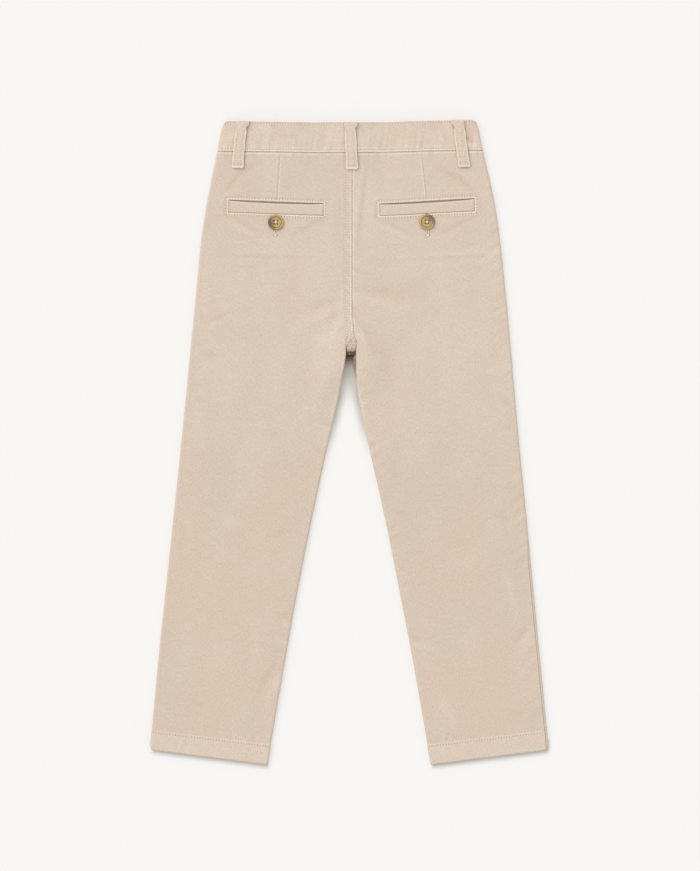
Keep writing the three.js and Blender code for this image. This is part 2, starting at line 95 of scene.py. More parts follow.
# %% The outline of the trousers
COLUMNS = ["drop", "outer_left", "outer_right", "inner_left", "inner_right", "edge", "crown"]
OUTLINE = np.array([
    [0, 126.3, 126.4, 3.9, 5.9, 3.0, 0.5],
    [30, 132.5, 132.5, 3.9, 5.9, 3.0, 0.5],
    [59, 138.5, 139.5, 3.9, 5.9, 2.75, 0.5],
    [89, 144.3, 145.5, 3.9, 5.9, 2.65, 0.5],
    [119, 148.6, 149.8, 3.9, 5.9, 2.6, 0.5],
    [179, 154.5, 156.2, 3.9, 5.9, 2.5, 0.5],
    [229, 159.5, 160.7, 3.9, 5.9, 2.4, 0.6],
    [240, 160.5, 161.8, 4.9, 6.0, 2.4, 0.6],
    [255, 162.0, 163.0, 7.6, 6.4, 2.4, 0.6],
    [268, 163.2, 164.2, 9.9, 7.6, 2.4, 0.6],
    [283, 164.7, 165.5, 13.2, 10.1, 2.4, 0.6],
    [325, 169.0, 169.2, 23.3, 19.6, 2.4, 0.6],
    [395, 176.3, 176.2, 38.9, 35.9, 2.4, 0.5],
    [465, 183.8, 182.9, 53.2, 50.3, 2.4, 0.5],
    [535, 191.2, 189.6, 66.2, 64.2, 2.4, 0.4],
    [628, 199.8, 198.7, 82.6, 80.7, 2.4, 0.2],
])


def ease(t):
    """3 t^2 - 2 t^3 between 0 and 1, and level outside."""
    t = np.clip(t, 0, 1)
    return t * t * (3 - 2 * t)


def mix(a, b, t):
    """a + (b - a) t."""
    return a + (b - a) * t


def outline(name, drop):
    """A column at a drop: between two rows, the cubic whose slope at a row is that across its
    neighbours."""
    rows, values = OUTLINE[:, 0], OUTLINE[:, COLUMNS.index(name)]
    last = len(rows) - 1
    i = np.clip(np.searchsorted(rows, drop) - 1, 0, last - 1)
    span = rows[i + 1] - rows[i]
    t = (drop - rows[i]) / span
    low, high = np.maximum(i - 1, 0), np.minimum(i + 2, last)
    before = (values[i + 1] - values[low]) / (rows[i + 1] - rows[low]) * span
    after = (values[high] - values[i]) / (rows[high] - rows[i]) * span
    return (values[i] * (2 * t**3 - 3 * t**2 + 1) + before * (t**3 - 2 * t**2 + t)
            + values[i + 1] * (3 * t**2 - 2 * t**3) + after * (t**3 - t**2))


print("width at the hips:", float(outline("outer_left", 150) + outline("outer_right", 150)), "mm")

# %% [markdown]
# A crease or a soft fold in washed cotton is a short ridge or trough that fades out at both ends.
# One formula serves them all: a bell shape, long one way and narrow the other, turned as it lies.
# The first table holds the large folds that the solids have too; the second holds the smaller
# marks of pocket bags, seams and pressing, placed where cloth is pulled or bent.

# %% Folds and creases
# x, drop, turn from straight down in degrees, length, width, height
FOLDS = np.array([
    [-118, 190, 35, 70, 20, 0.35], [-128, 226, 30, 60, 16, -0.3], [112, 196, -35, 75, 22, 0.3],
    [-40, 205, -50, 60, 18, 0.3], [44, 208, 50, 60, 18, 0.3], [-95, 330, 8, 120, 26, 0.35],
    [100, 340, -10, 130, 28, 0.35], [-120, 455, 12, 110, 22, -0.3],
    [118, 470, -14, 120, 24, 0.3], [-140, 560, 10, 90, 24, 0.3], [132, 565, -8, 100, 24, -0.3],
])
CREASES = np.array([
    # prints of the pocket bags: their lower edges, and the curved front ones
    [-78, 136, 89, 76, 2.4, -0.16], [-78, 132, 88, 72, 4, 0.1], [96, 137, 93, 80, 2.4, -0.16],
    [102, 133, 95, 66, 4, 0.1], [-116, 61, 142, 24, 3.6, -0.36], [-101, 47, 118, 24, 4, -0.24],
    [99, 54, 62, 24, 4, -0.26], [114, 63, 46, 22, 3.6, -0.36],
    # drawn from the corners of the pockets towards their buttons
    [-104, 104, 60, 32, 3.6, -0.27], [-43, 106, 119, 32, 3.6, -0.25], [46, 106, 62, 30, 3.6, -0.24],
    [108, 104, 114, 32, 3.6, -0.26], [-104, 110, 62, 30, 4, 0.2], [48, 112, 64, 28, 4, 0.18],
    [-123, 89, 0, 15, 3, -0.36], [-27, 92, 0, 15, 3, -0.3], [25.5, 93, 0, 15, 3, -0.36],
    [122, 81, 0, 15, 3, -0.36],
    # beside the seat seam
    [-11, 100, 0, 62, 6, -0.1], [12, 85, -7, 84, 3.6, -0.32], [8, 88, -5, 74, 3.2, 0.24],
    [21, 90, 2, 62, 8, 0.14], [-21, 95, -3, 60, 8, 0.1],
    # pulled towards the crotch
    [-22, 246, -17, 92, 12, 0.16], [-18, 196, -42, 20, 5, -0.24], [30, 171, 84, 60, 6, -0.19],
    [24, 180, 76, 48, 5.5, 0.2], [6.5, 198, 16, 30, 3, -0.34], [11, 212, 22, 30, 4, 0.34],
    [17, 214, 24, 36, 5, -0.26], [52, 168, 105, 62, 15, -0.16], [-27, 193, 112, 50, 6, 0.18],
    [-30, 222, -35, 34, 9, 0.14], [33, 236, 20, 40, 8, -0.16], [-8, 176, -8, 26, 5, 0.16],
    [-12, 204, 150, 26, 4, 0.2], [-30, 183, 106, 36, 5, -0.14],
    # at the hips and side seams
    [-131, 197, 118, 15, 4, -0.32], [-135, 203, 118, 15, 5, 0.2], [-138, 234, 80, 13, 4, -0.24],
    [-152, 279, 100, 11, 4, -0.26], [158, 281, 80, 11, 4, -0.24], [160, 306, 84, 10, 4, -0.28],
    [140, 250, 100, 16, 5, 0.18], [-150, 150, 30, 22, 6, 0.14], [150, 140, -28, 24, 6, 0.14],
    # down the legs
    [-70, 412, -72, 15, 4, -0.26], [-64, 494, -80, 12, 4, -0.28], [-81, 553, -29, 36, 5, -0.26],
    [-75, 566, -29, 32, 6, 0.26], [-72, 530, -70, 14, 4, -0.26], [-150, 300, 6, 40, 7, 0.16],
    [-168, 420, -4, 36, 6, -0.14], [67, 517, 78, 12, 4, -0.3], [68, 523, 78, 12, 4, 0.2],
    [172, 512, -36, 20, 4.5, -0.32], [177, 520, -30, 20, 5, 0.22], [161, 470, 12, 34, 5, 0.22],
    [45, 350, 16, 30, 5, -0.18], [52, 392, 70, 12, 4, -0.22], [150, 395, 60, 20, 7, -0.16],
    [-120, 400, 70, 34, 10, 0.14], [110, 420, -66, 34, 10, -0.14],
    [-155, 580, 60, 22, 6, -0.2], [96, 585, 30, 26, 7, 0.2], [168, 592, 78, 12, 4, -0.24],
])


def fold_height(table, x, drop):
    """Sum over the table of height * exp(-4 (along / length)^2 - 2 (across / width)^2)."""
    total = np.zeros(np.broadcast(x, drop).shape)
    for at_x, at_drop, turn, length, width, height in table:
        s, c = np.sin(np.radians(turn)), np.cos(np.radians(turn))
        along = (x - at_x) * s + (drop - at_drop) * c
        across = (x - at_x) * c - (drop - at_drop) * s
        total += height * np.exp(-4 * (along / length) ** 2 - 2 * (across / width) ** 2)
    return total


def drift(x, y, size, seed):
    """An uneven soft field of about -1 to 1: 14 sine waves of seeded directions and phases, whose
    wavelengths lie round the given size."""
    pick = np.random.default_rng(seed)
    turn, phase = pick.uniform(0, 2 * np.pi, (2, 14))
    rate = 2 * np.pi / (size * pick.uniform(0.7, 1.5, 14))
    x, y = np.broadcast_arrays(np.asarray(x, float)[..., None], np.asarray(y, float)[..., None])
    return np.sin((x * np.cos(turn) + y * np.sin(turn)) * rate + phase).sum(-1) / 4.5


print("folds:", len(FOLDS), "large,", len(CREASES), "small")

# %% [markdown]
# Laid flat, a leg is a flattened tube: back and front lie on each other and bend over at the
# folded edges. So a cross-section is followed by its length along the cloth, as a tape would: 0
# at the outer edge, more over the back, less than 0 under the front. A point of the cloth is then
# a function of the drop and of that length, and its wall is the same point set back along the
# normal.

# %% The cloth's skin
# the waistband's depth, a loop's length, the side's length, how much lower the hem is at its inner
# end, the crotch's drop and the hem's depth
BAND, LOOP, SIDE, HEM_SLANT, CROTCH, HEM = 30.2, 47.3, 627.7, 15.0, 225.0, 19.4
# the gap at a seam, the solids' wall, the cloth's own wall here and at the hem, and the width of
# the strip over the seat seam
SEAM, CLOTH, WALL, HEM_WALL, FELL = 0.3, 1.0, 0.95, 1.7, 7.8
# where the centre of the waist's top edge lies in the frame
X0, Y0 = cad_box[0][0] * 1000 + 199.8, cad_box[0][1] * 1000 + SIDE + HEM_SLANT
SIGN = {"left": -1.0, "right": 1.0}
# the drops at which the legs part, on the back and on the front, and how soon they do
BACK_OPENS, FRONT_OPENS, OPENS_OVER = 213.5, 226.0, 8.5


def sag(x, drop):
    """How much lower than its drop a point lies: the waist is higher at its ends."""
    ends = 1.5 * ease((-x - 30) / 105) + 2.6 * ease((x - 10) / 125)
    return (1.6 - ends) * (1 - ease((drop - 40) / 110))


def at(x, drop, z):
    """Plan position to x, y and z in the frame, in millimetres."""
    return np.stack(np.broadcast_arrays(x + X0, Y0 - drop - sag(x, drop), z), -1)


def lift(x, drop):
    """How far the cloth is held up over the waist button and the front belt loops."""
    button = 2.8 * (1 - ease((np.abs(x) - 9) / 28)) * (1 - ease((drop - 26) / 24))
    loop = 2 * (1 - ease((np.abs(np.abs(x) - 62) - 7) / 22)) * (1 - ease((drop - LOOP - 3) / 30))
    return np.maximum(button, loop)


def seam_x(drop):
    """Where the middle of the felled seat seam lies."""
    return mix(-1.0, 1.0, ease((drop - 185) / 38))


def bulk_at(drop):
    """How much fuller the legs' inner edges are near the crotch, over its thick seams."""
    return 4.4 * ease((drop - 168) / 55) * (1 - ease((drop - 243) / 42))


def corner_shift(far, drop):
    """Round outer corners: the waist's end comes down and the hem's end goes up near the edge."""
    edge = (1 - ease(far / 9)) ** 2
    return edge * (2.6 * (1 - ease(drop / 12)) - 3.4 * ease((drop - SIDE + 14) / 14))


class Section:
    """The tube cut across at a drop. Its inner end lies at the centre seam in the seat, and opens
    over a few millimetres into the leg's own folded edge, which is squarer where it is thick."""

    def __init__(self, side, drop, opens):
        drop = np.asarray(drop, float)
        self.side, self.sign, self.drop = side, SIGN[side], drop
        self.opened = ease((drop - opens) / OPENS_OVER)
        self.edge, self.crown = outline("edge", drop), outline("crown", drop)
        self.bulk = bulk_at(drop)
        self.fold = (self.edge + self.bulk / 2) * self.opened
        self.square = (0.85 if side == "left" else 0.7) * self.bulk / 4.4
        self.outer = outline("outer_" + side, drop)
        inner = mix(SEAM / 2, outline("inner_" + side, drop), self.opened)
        slant = HEM_SLANT * np.maximum(0, drop - CROTCH) / (SIDE - CROTCH)
        self.across = np.hypot(self.outer - inner, slant)
        self.in_x = -self.sign * (self.outer - inner) / self.across
        self.in_drop = slant / self.across
        self.total = self.across + (self.edge + self.fold) * (np.pi / 2 - 1)

    def length_at(self, x):
        """Length whose plan position is x from the centre, on the level part: outer - x - edge
        + quarter of the edge's circle."""
        return self.outer - x + self.edge * (np.pi / 2 - 1)

    def top(self, inward, x, drop, groove=True):
        """Height of the back: twice the edge's radius, bulk, the crown and folds, and the lift."""
        outer, inner = ease(inward / 40), ease((self.across - inward) / 30)
        inner = mix(1, inner, ease((drop - 150) / 70))
        off = x - seam_x(drop)
        near = np.where(off > 0, (off - FELL / 2 + 0.8) / 0.8, (-off - FELL / 2 - 0.1) / 1.0)
        dip = np.where(off > 0, 0.42, 0.7) * (1 - ease(near)) * (1 - self.opened)
        shape = self.crown + fold_height(FOLDS, x, drop) * inner
        bulk = self.bulk * (1 - ease((self.across - inward - 5) / 34))
        level = 2 * self.edge + bulk - dip * groove
        return level + outer * (inner * shape + 0.7 * lift(x, drop))

    def skin(self, length, back=0.0, groove=True, relief=None):
        """The point of the skin at a length, set back along its normal. Over a folded edge the
        skin is a quarter of a circle. A relief of x, drop and this section stands proud of it."""
        edge, fold = self.edge, np.maximum(self.fold, 1e-6)
        far = np.abs(length)
        from_inner = self.total - far
        outside = far < edge * np.pi / 2
        inside = ~outside & (self.fold > 0) & (from_inner < fold * np.pi / 2)
        a, b = far / edge, from_inner / fold
        spread = self.square * fold * (1 - ease((from_inner - fold * np.pi / 2) / 20))
        inward = np.where(outside, edge * (1 - np.cos(a)), np.where(
            inside, self.across - fold * (1 - self.square) * (1 - np.cos(b)),
            edge + far - edge * np.pi / 2 + spread))
        rise = np.where(outside, edge * (np.sin(a) - 1), np.where(
            inside, fold * (np.sin(b) - 1), 0))
        tilt = np.where(outside, -np.cos(a), np.where(inside, np.cos(b), 0))
        x = self.sign * self.outer + self.in_x * inward
        drop = self.drop + self.in_drop * inward + corner_shift(far, self.drop)
        over = length >= 0
        z = np.where(over, self.top(inward, x, drop, groove) + rise, lift(x, drop) - rise)
        if relief is not None:
            back = back - relief(self, x, drop, far)
        up = np.where(over, 1.0, -1.0) * np.sqrt(1 - tilt**2)
        return at(x - self.in_x * tilt * back, drop - self.in_drop * tilt * back, z - up * back)


hip = Section("left", 150.0, BACK_OPENS)
print("cloth over half the back at the hips:", round(float(hip.total), 1), "mm")

# %% [markdown]
# A sewn panel is a thin closed wall. Two grids of points, its outer and its inner face, are
# joined cell by cell, and a rim closes every edge, also round an opening such as a pocket mouth:
# an edge of a cell that has no neighbour gets one face down to the inner grid. The cloth's own
# width and length go with it as a UV map in metres, so that the weave follows the cut of the
# panel.

# %% Grids into meshes
pieces = {}


def mesh_piece(name, points, faces, cut=None, values=None, slot="cloth", replaces=(), sharp=1.0):
    """A piece from points in millimetres and faces of four corners, in the frame at the origin. A
    face whose last two corners are the same point is a triangle. Edges over an angle are sharp."""
    corner = np.ones(faces.shape, bool)
    corner[:, 3] = faces[:, 3] != faces[:, 2]
    sizes = corner.sum(1)
    mesh = bpy.data.meshes.new(name)
    mesh.vertices.add(len(points))
    mesh.vertices.foreach_set("co", (points * MM).ravel())
    mesh.loops.add(int(sizes.sum()))
    mesh.loops.foreach_set("vertex_index", faces[corner].astype(np.int32))
    mesh.polygons.add(len(faces))
    mesh.polygons.foreach_set("loop_start", (np.cumsum(sizes) - sizes).astype(np.int32))
    if cut is not None:
        layer = mesh.uv_layers.new(name="cut")
        layer.uv.foreach_set("vector", (cut * MM)[faces[corner]].ravel())
    for key, value in (values or {}).items():
        attribute = mesh.attributes.new(key, "FLOAT", "POINT")
        attribute.data.foreach_set("value", value.astype(np.float32).ravel())
    mesh.update(calc_edges=True)
    mesh.validate()
    mesh.polygons.foreach_set("use_smooth", np.ones(len(mesh.polygons), bool))
    if sharp:
        mesh.set_sharp_from_angle(angle=sharp)
    piece = bpy.data.objects.new(name, mesh)
    bpy.context.scene.collection.objects.link(piece)
    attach(piece, "root")
    if replaces:
        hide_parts(*replaces)
    pieces[name] = piece
    print(name, "-", sum(len(p.vertices) - 2 for p in mesh.polygons), "triangles")
    return piece


def cells(rows, columns, keep=None):
    """The four corners of each cell of a grid of points numbered row by row."""
    i, j = np.mgrid[: rows - 1, : columns - 1]
    corner = (i * columns + j).ravel()
    quads = np.stack([corner, corner + 1, corner + columns + 1, corner + columns], -1)
    return quads if keep is None else quads[keep.ravel()]


def wall(name, outer, inner, uv=None, keep=None, values=None, **more):
    """A closed wall between two grids: both faces, and a rim along each edge that only one cell
    has. Its faces are turned so that the enclosed volume is positive."""
    rows, columns = outer.shape[:2]
    count = rows * columns
    quads = cells(rows, columns, keep)
    points = np.concatenate([outer.reshape(-1, 3), inner.reshape(-1, 3)])
    start, end = quads.ravel(), np.roll(quads, -1, axis=1).ravel()
    lone = ~np.isin(start * count + end, end * count + start)
    a, b = start[lone], end[lone]
    rim = np.stack([b, a, a + count, b + count], -1)
    faces = np.concatenate([quads, quads[:, ::-1] + count, rim])
    first, second, third, fourth = np.moveaxis(points[faces], 1, 0)
    volume = (first * (np.cross(second, third) + np.cross(third, fourth))).sum()
    if volume < 0:
        faces = faces[:, ::-1]
    used = np.unique(faces)
    number = np.zeros(2 * count, int)
    number[used] = np.arange(len(used))

    def double(grid):
        return np.concatenate([grid.reshape(count, -1)] * 2)[used]

    return mesh_piece(
        name, points[used], number[faces], None if uv is None else double(uv),
        {key: double(value) for key, value in (values or {}).items()}, **more)


def spaced(marks, steps):
    """Values from mark to mark, evenly spaced at about the step given for each stretch."""
    parts = [np.linspace(a, b, max(1, round((b - a) / step)) + 1)[:-1]
             for a, b, step in zip(marks, marks[1:], steps)]
    return np.append(np.concatenate(parts), marks[-1])


print("cells of a grid of 3 by 4 points:", len(cells(3, 4)))

# %% [markdown]
# The back of the trousers is what shows most. Its pocket mouths are real openings, so the grid is
# sheared a little near them and its lines run along the welt. The relief adds what sewing does to
# cloth: a ditch at the waist seam, a dart, a stitched lip round each pocket, small puckers along
# the seams and a thicker hem. A mark that is narrower than the grid would look torn, so the grid
# is finest at the seams and pocket edges.

# %% Where the welt pocket lies
POCKET_X, POCKET_DROP, POCKET_L, POCKET_H = {"left": 73.9, "right": 76.9}, 86.3, 94.5, 12.4
TILT = {"left": np.radians(1.5), "right": np.radians(2.2)}


def pocket_place(side, along, down, turn=None):
    """Distance from the centre, and drop, of a point along and down the pocket's own axes."""
    turn = TILT[side] if turn is None else turn
    x = POCKET_X[side] + along * np.cos(turn) + down * np.sin(turn)
    return x, POCKET_DROP - along * np.sin(turn) + down * np.cos(turn)


def pocket_axes(side, x, drop):
    """The reverse: along and down the pocket, from a distance to the centre and a drop."""
    dx, dy, turn = x - POCKET_X[side], drop - POCKET_DROP, TILT[side]
    return dx * np.cos(turn) - dy * np.sin(turn), dx * np.sin(turn) + dy * np.cos(turn)


def pocket_off(along, down):
    """Distance outside the pocket's opening, 0 within it: the hypotenuse of the distances past its
    end and past its long edge."""
    return np.hypot(np.maximum(np.abs(along) - POCKET_L / 2, 0),
                    np.maximum(np.abs(down) - POCKET_H / 2, 0))


def bell(t, width):
    """exp(-(t / width)^2)."""
    return np.exp(-((t / width) ** 2))


print("pockets from", [pocket_place(side, -POCKET_L / 2, 0)[0].round(1) for side in SIGN], "mm off")

# %% [markdown]
# A needle leaves a row of small holes, which hold the darkest shade in the cloth. That shade is
# painted, so each point has to know how close it is to a row, and how many stitches along it lies.
# Round a pocket that is the way round a rectangle with its corners cut off.

# %% Marks that the needle leaves
# a stitch's length, and how far the hem's row lies below the hem's upper edge
PITCH, HEM_STITCH = 2.75, 1.7
# a pocket's row: its distance from the opening, its half length and height, and its cut corners
FRAME_OFF = 2.5
FRAME_X, FRAME_Y, FRAME_CUT = POCKET_L / 2 + FRAME_OFF, POCKET_H / 2 + FRAME_OFF, 2.0


def stitches(length, pitch=PITCH):
    """How many stitches fill a length."""
    return np.maximum(2, np.round(length / pitch))


def pocket_row(along, down):
    """Way round the row of stitches that frames a pocket, from its upper inner corner, as a share
    of the whole, and the row's length. The corners are cut off straight."""
    a, d, cut = FRAME_X - FRAME_CUT, FRAME_Y - FRAME_CUT, FRAME_CUT * np.sqrt(2)
    wide, high = 2 * a, 2 * d
    whole = 2 * (wide + high + 2 * cut)
    end = np.abs(along) - POCKET_L / 2 > np.abs(down) - POCKET_H / 2
    way = np.where(down < 0, along + a, wide + 2 * cut + high + a - along)
    at_end = np.where(along > 0, wide + cut + down + d, 2 * wide + high + 3 * cut + d - down)
    return np.where(end, at_end, way) / whole, whole


print("stitches round a pocket:", stitches(pocket_row(0, 0)[1]))

# %% [markdown]
# The relief is a sum of small forms, each at its own place: ditches and swellings are bells
# across a seam, steps are eased, and the puckers along a seam are a drift times a bell. The tone
# is a sum of the same kind, which says where the cloth is painted paler or darker: painted
# highlight on lips and ridges and painted shade in ditches and valleys, with some wear.

# %% Relief of the back
# a dart's distance from the centre at its top and at its point, below the waistband
DARTS = {"left": (69.6, 72.6), "right": (70.8, 76.3)}
HEM_ROW = SIDE - HEM


def pucker(along, size, seed):
    """Short uneven swellings along a seam, as its stitches draw the cloth up."""
    slow = drift(along, along * 0, 5 * size, seed + 1)
    return drift(along, along * 0, size, seed) * (0.6 + 0.4 * slow)


def dart_axes(side, from_centre, drop):
    """Distance outward from a dart's line, and 1 along the dart's length, 0 past its ends."""
    off = from_centre - mix(*DARTS[side], (drop - 31) / 45)
    return off, ease((drop - 30) / 3) * ease((80 - drop) / 6)


def back_relief(section, x, drop, far):
    """Millimetres that the back stands proud of its plain skin."""
    side, row = section.side, section.drop
    seed = 3 if side == "left" else 40
    from_centre, from_inner = np.abs(x), section.total - far
    seat = 1 - section.opened
    # soft drape of washed cloth
    up = 0.06 * drift(x, drop * 0.6, 46, seed) + 0.02 * drift(x, drop * 0.7, 13, seed + 2)
    up = up * ease(far / 12) * ease((drop - 34) / 30)
    up = up + 1.5 * fold_height(CREASES, x, drop) * ease((far - 2) / 8)
    # waist seam: a shallow ditch, a swelling under it, and puckers across it
    below = drop - BAND
    up = up - 0.45 * bell(below - 0.2, 0.7) + 0.34 * bell(below - 2.2, 1.2)
    up = up + 0.14 * pucker(x, 6, seed + 4) * bell(below, 8) * ease(below / 2)
    # dart: the cloth folded towards the centre, with a fine crease
    off, length = dart_axes(side, from_centre, drop)
    fold = 0.2 * bell(off + 1.0, 1.2) - 0.34 * bell(off, 0.7) + 0.1 * bell(off - 2, 1.5)
    up = up + length * fold
    up = up + length * 0.1 * pucker(drop, 3, seed + 6) * bell(off, 2.5)
    # pocket: a lip between the opening and its stitches, which sink in
    along, down = pocket_axes(side, from_centre, drop)
    off = pocket_off(along, down)
    lip = 0.5 * ease(off / 0.9) * (1 - ease((off - 1.5) / 0.9)) - 0.2 * (1 - ease(off / 0.8))
    up = up + (lip - 0.24 * bell(off - 2.4, 0.6) + 0.22 * bell(off - 4.4, 1.7))
    up = up + 0.12 * pucker(along, 5, seed + 8) * bell(off - 3.5, 2.6) * (np.abs(down) > 5)
    # seat seam: level with the strip on its left, a step and a soft ridge on its right
    beside = x - seam_x(drop) - np.sign(x) * FELL / 2
    right = x > seam_x(drop)
    up = up + seat * right * (0.3 * bell(beside - 1.0, 1.0) - 0.1 * bell(beside + 0.5, 0.5))
    gathered = pucker(drop - 0.8 * from_centre, 7, seed + 10)
    up = up + seat * 0.16 * gathered * bell(from_centre - 5, 5)
    # inseam and side seam puckers
    legs = ease((drop - 235) / 30) * (1 - 0.75 * ease((row - HEM_ROW + 6) / 6))
    tight = 0.6 + 0.4 * drift(row, row * 0, 70, seed + 11)
    slanted = row + 0.5 * from_inner
    up = up + legs * 0.34 * tight * pucker(slanted, 9, seed + 12) * bell(from_inner - 5, 8)
    outer = ease((drop - 60) / 60) * (1 - 0.6 * ease((row - HEM_ROW + 6) / 6))
    up = up + outer * 0.3 * tight * pucker(row - 0.6 * far, 10, seed + 14) * bell(far - 6, 9)
    up = up - outer * 0.12 * bell(far - 5.2, 1.3) * (side == "left")
    # hem: turned up and stitched, so that it is thicker, with twisted ripples
    hem = row - HEM_ROW
    up = up + 0.3 * ease(hem / 1.2 + 0.5) - 0.34 * bell(hem - HEM_STITCH, 0.7)
    rope = 0.08 * pucker(far + 0.3 * hem, 7, seed + 16) * ease((hem - 1) / 4)
    up = up + rope * ease((HEM - 0.3 - hem) / 1.5) - 0.5 * (1 - ease((HEM - hem) / 0.9))
    up = up + 0.18 * pucker(far - 0.3 * hem, 6, seed + 18) * bell(hem + 2, 6) * (hem < 0)
    return up


def tone(section, x, drop, far):
    """How much paler (or darker, below 0) the cloth is painted, as painted highlight and shade with
    some wear: pale along the lips of a pocket, under the waist, beside the dart and seat seam,
    along the legs' inner edges and at the hem's upper edge, darker in the valleys and seams beside
    them."""
    side, row = section.side, section.drop
    below, from_centre = drop - BAND, np.abs(x)
    uneven = pucker(x, 9, 331)
    # painted highlight just under the waist seam, painted shade in its ditch
    value = (0.25 + 0.3 * uneven) * bell(below - 1.9, 0.8)
    value = value - (0.4 - 0.3 * uneven) * bell(below - 0.2, 0.6)
    value = value - 0.1 * ease((drop - 230) / 150)
    value = value + 0.25 * pucker(x, 5, 300) * bell(below - 4, 3)
    along, down = pocket_axes(side, from_centre, drop)
    off = pocket_off(along, down)
    # painted highlight on the pocket's lip, painted shade outside its stitches
    value = value + 0.6 * bell(off - 0.9, 0.7) - 0.25 * bell(off - 4.2, 1.4)
    dart, length = dart_axes(side, from_centre, drop)
    # painted highlight beside the dart, painted shade on its crease
    dashed = 0.7 + 0.5 * np.sin(drop * 2 * np.pi / 3.1)
    value = value + length * (0.55 * dashed * bell(dart + 1.2, 0.6) - 0.5 * bell(dart, 0.6))
    right = x > seam_x(drop)
    beside = x - seam_x(drop) - FELL / 2
    seat = 1 - section.opened
    # painted highlight beside the seat seam's strip
    value = value + seat * right * (0.15 * bell(beside - 0.8, 0.8) + 0.2 * bell(beside + 0.6, 0.6))
    from_inner = section.total - far
    near = section.opened * (1 - ease((row - 262) / 60))
    # painted highlight along the legs' inner folded edges
    value = value + near * 0.3 * bell(from_inner - 3.2, 2.0)
    hem = row - HEM_ROW
    # painted highlight at the hem's upper edge, painted shade at its stitch row and lower edge
    value = value + 0.3 * bell(hem - 0.6, 0.7) - 0.4 * bell(hem - HEM_STITCH, 0.7)
    return value - 0.25 * bell(HEM - 0.4 - hem, 0.8)


def back_marks(section, x, drop, far):
    """Closeness to a row of stitches, 0 to 1, and the stitch's number along it."""
    along, down = pocket_axes(section.side, np.abs(x), drop)
    share, whole = pocket_row(along, down)
    hem = section.drop - HEM_ROW - HEM_STITCH
    row = 0.75 * bell(pocket_off(along, down) - FRAME_OFF, 0.65) + 0.55 * bell(hem, 0.65)
    hem_length = section.total - 0.9
    in_hem = (section.total - 0.4 - far) / hem_length * stitches(hem_length)
    return row, np.where(drop < 300, share * stitches(whole), in_hem)


print("the hems are sewn at a drop of", round(HEM_ROW + HEM_STITCH, 1), "mm")

# %% [markdown]
# The grid's lines lie where the relief is fine. Its rows go down the leg and its columns are
# spaced from both edges. Near a pocket both turn with the welt, so that the opening's edges are
# lines of the grid.

# %% Grid of a back panel
def back_grid(side):
    """Rows of sections and columns of lengths. In the seat the columns keep their distance from the
    centre, in the leg they share its width; near the pocket both turn with the welt."""
    top, foot = POCKET_DROP - POCKET_H / 2, POCKET_DROP + POCKET_H / 2
    rows = spaced(
        [30.3, 34, top - 4, top, foot, foot + 4.3, 130, 208, 240, 601, 606, 611, 625, SIDE],
        [0.5, 1.1, 0.5, 1.0, 0.5, 1.15, 1.55, 0.85, 2.6, 1.2, 0.6, 1.1, 0.4])
    begin, finish = (POCKET_X[side] + k * POCKET_L / 2 - SEAM / 2 for k in (-1, 1))
    near = spaced([0, 6, 9, begin - 4, begin, 67, 78.5, finish, finish + 4],
                  [0.5, 1.0, 1.5, 0.5, 1.55, 0.72, 1.55, 0.5])
    edge = np.array([6, 5, 4, 3.2, 2.4, 1.6, 0.8, 0])
    s = Section(side, rows, BACK_OPENS)
    seam = 3.9 * ease((rows - 385) / 60) * (side == "right")
    start, end = seam + SEAM / 2, s.total - s.opened * SEAM / 2
    span = (end - start)[:, None]
    fill = near[-1] + (span - 6 - near[-1]) * np.linspace(0, 1, 10)[1:-1]
    seat = np.concatenate([near + 0 * span, fill, span - edge], 1)
    first = np.arange(11) * 0.6
    middle = 6 + (span - 12) * np.linspace(0, 1, seat.shape[1] - 17)[1:-1]
    leg = np.concatenate([first + 0 * span, middle, span - edge], 1)
    from_end = mix(seat, leg, ease((rows - 110) / 90)[:, None])
    x = from_end + SEAM / 2
    along, down = x - POCKET_X[side], rows[:, None] - POCKET_DROP
    turn = 1 - ease((np.abs(down) - 12) / 25)
    turn = TILT[side] * turn * (1 - ease((np.abs(along) - 50) / 12))
    new_x, new_drop = pocket_place(side, along, down, turn)
    drops = new_drop + 0 * x
    section = Section(side, drops, BACK_OPENS)
    outer_moved = section.outer - s.outer[:, None]
    lengths = end[:, None] - from_end + outer_moved - (new_x - x)
    lengths = np.where(turn > 0, lengths, end[:, None] - from_end)
    mid_x = (x[:-1, :-1] + x[1:, 1:]) / 2 - POCKET_X[side]
    mid_down = (rows[:-1] + rows[1:])[:, None] / 2 - POCKET_DROP
    keep = (np.abs(mid_x) > POCKET_L / 2) | (np.abs(mid_down) > POCKET_H / 2)
    return section, lengths, keep


def back_panel(side):
    """The wall of a back: its skin with the relief, and its inner face without it. Its tone is
    0.55 times the relief's height and the tone's marks: painted highlight and shade, with some
    wear."""
    section, lengths, keep = back_grid(side)
    outer = section.skin(lengths, 0.0, relief=back_relief)
    inner = section.skin(lengths, np.where(section.drop > HEM_ROW + 0.3, HEM_WALL, WALL))
    plain = section.skin(lengths, 0.0)
    inward = np.maximum(np.abs(lengths) - 1.4, 0)
    place = (section, section.sign * section.outer + section.in_x * inward,
             section.drop + section.in_drop * inward, np.abs(lengths))
    # the relief painted into the colour, ridges paler and hollows darker, as painted highlight and
    # shade, and the tone's painted light and wear
    proud = 0.55 * (outer - plain)[..., 2] + tone(*place)
    # where the needle holes' painted shade goes along each row
    near, number = back_marks(*place)
    uv = np.stack([lengths * section.sign, -section.drop], -1)
    name = "back_panel_" + side
    panel = wall(name + "_cloth", outer, inner, uv, keep,
                 {"proud": proud, "row": near, "number": number}, replaces=[name])


for side in SIGN:
    back_panel(side)

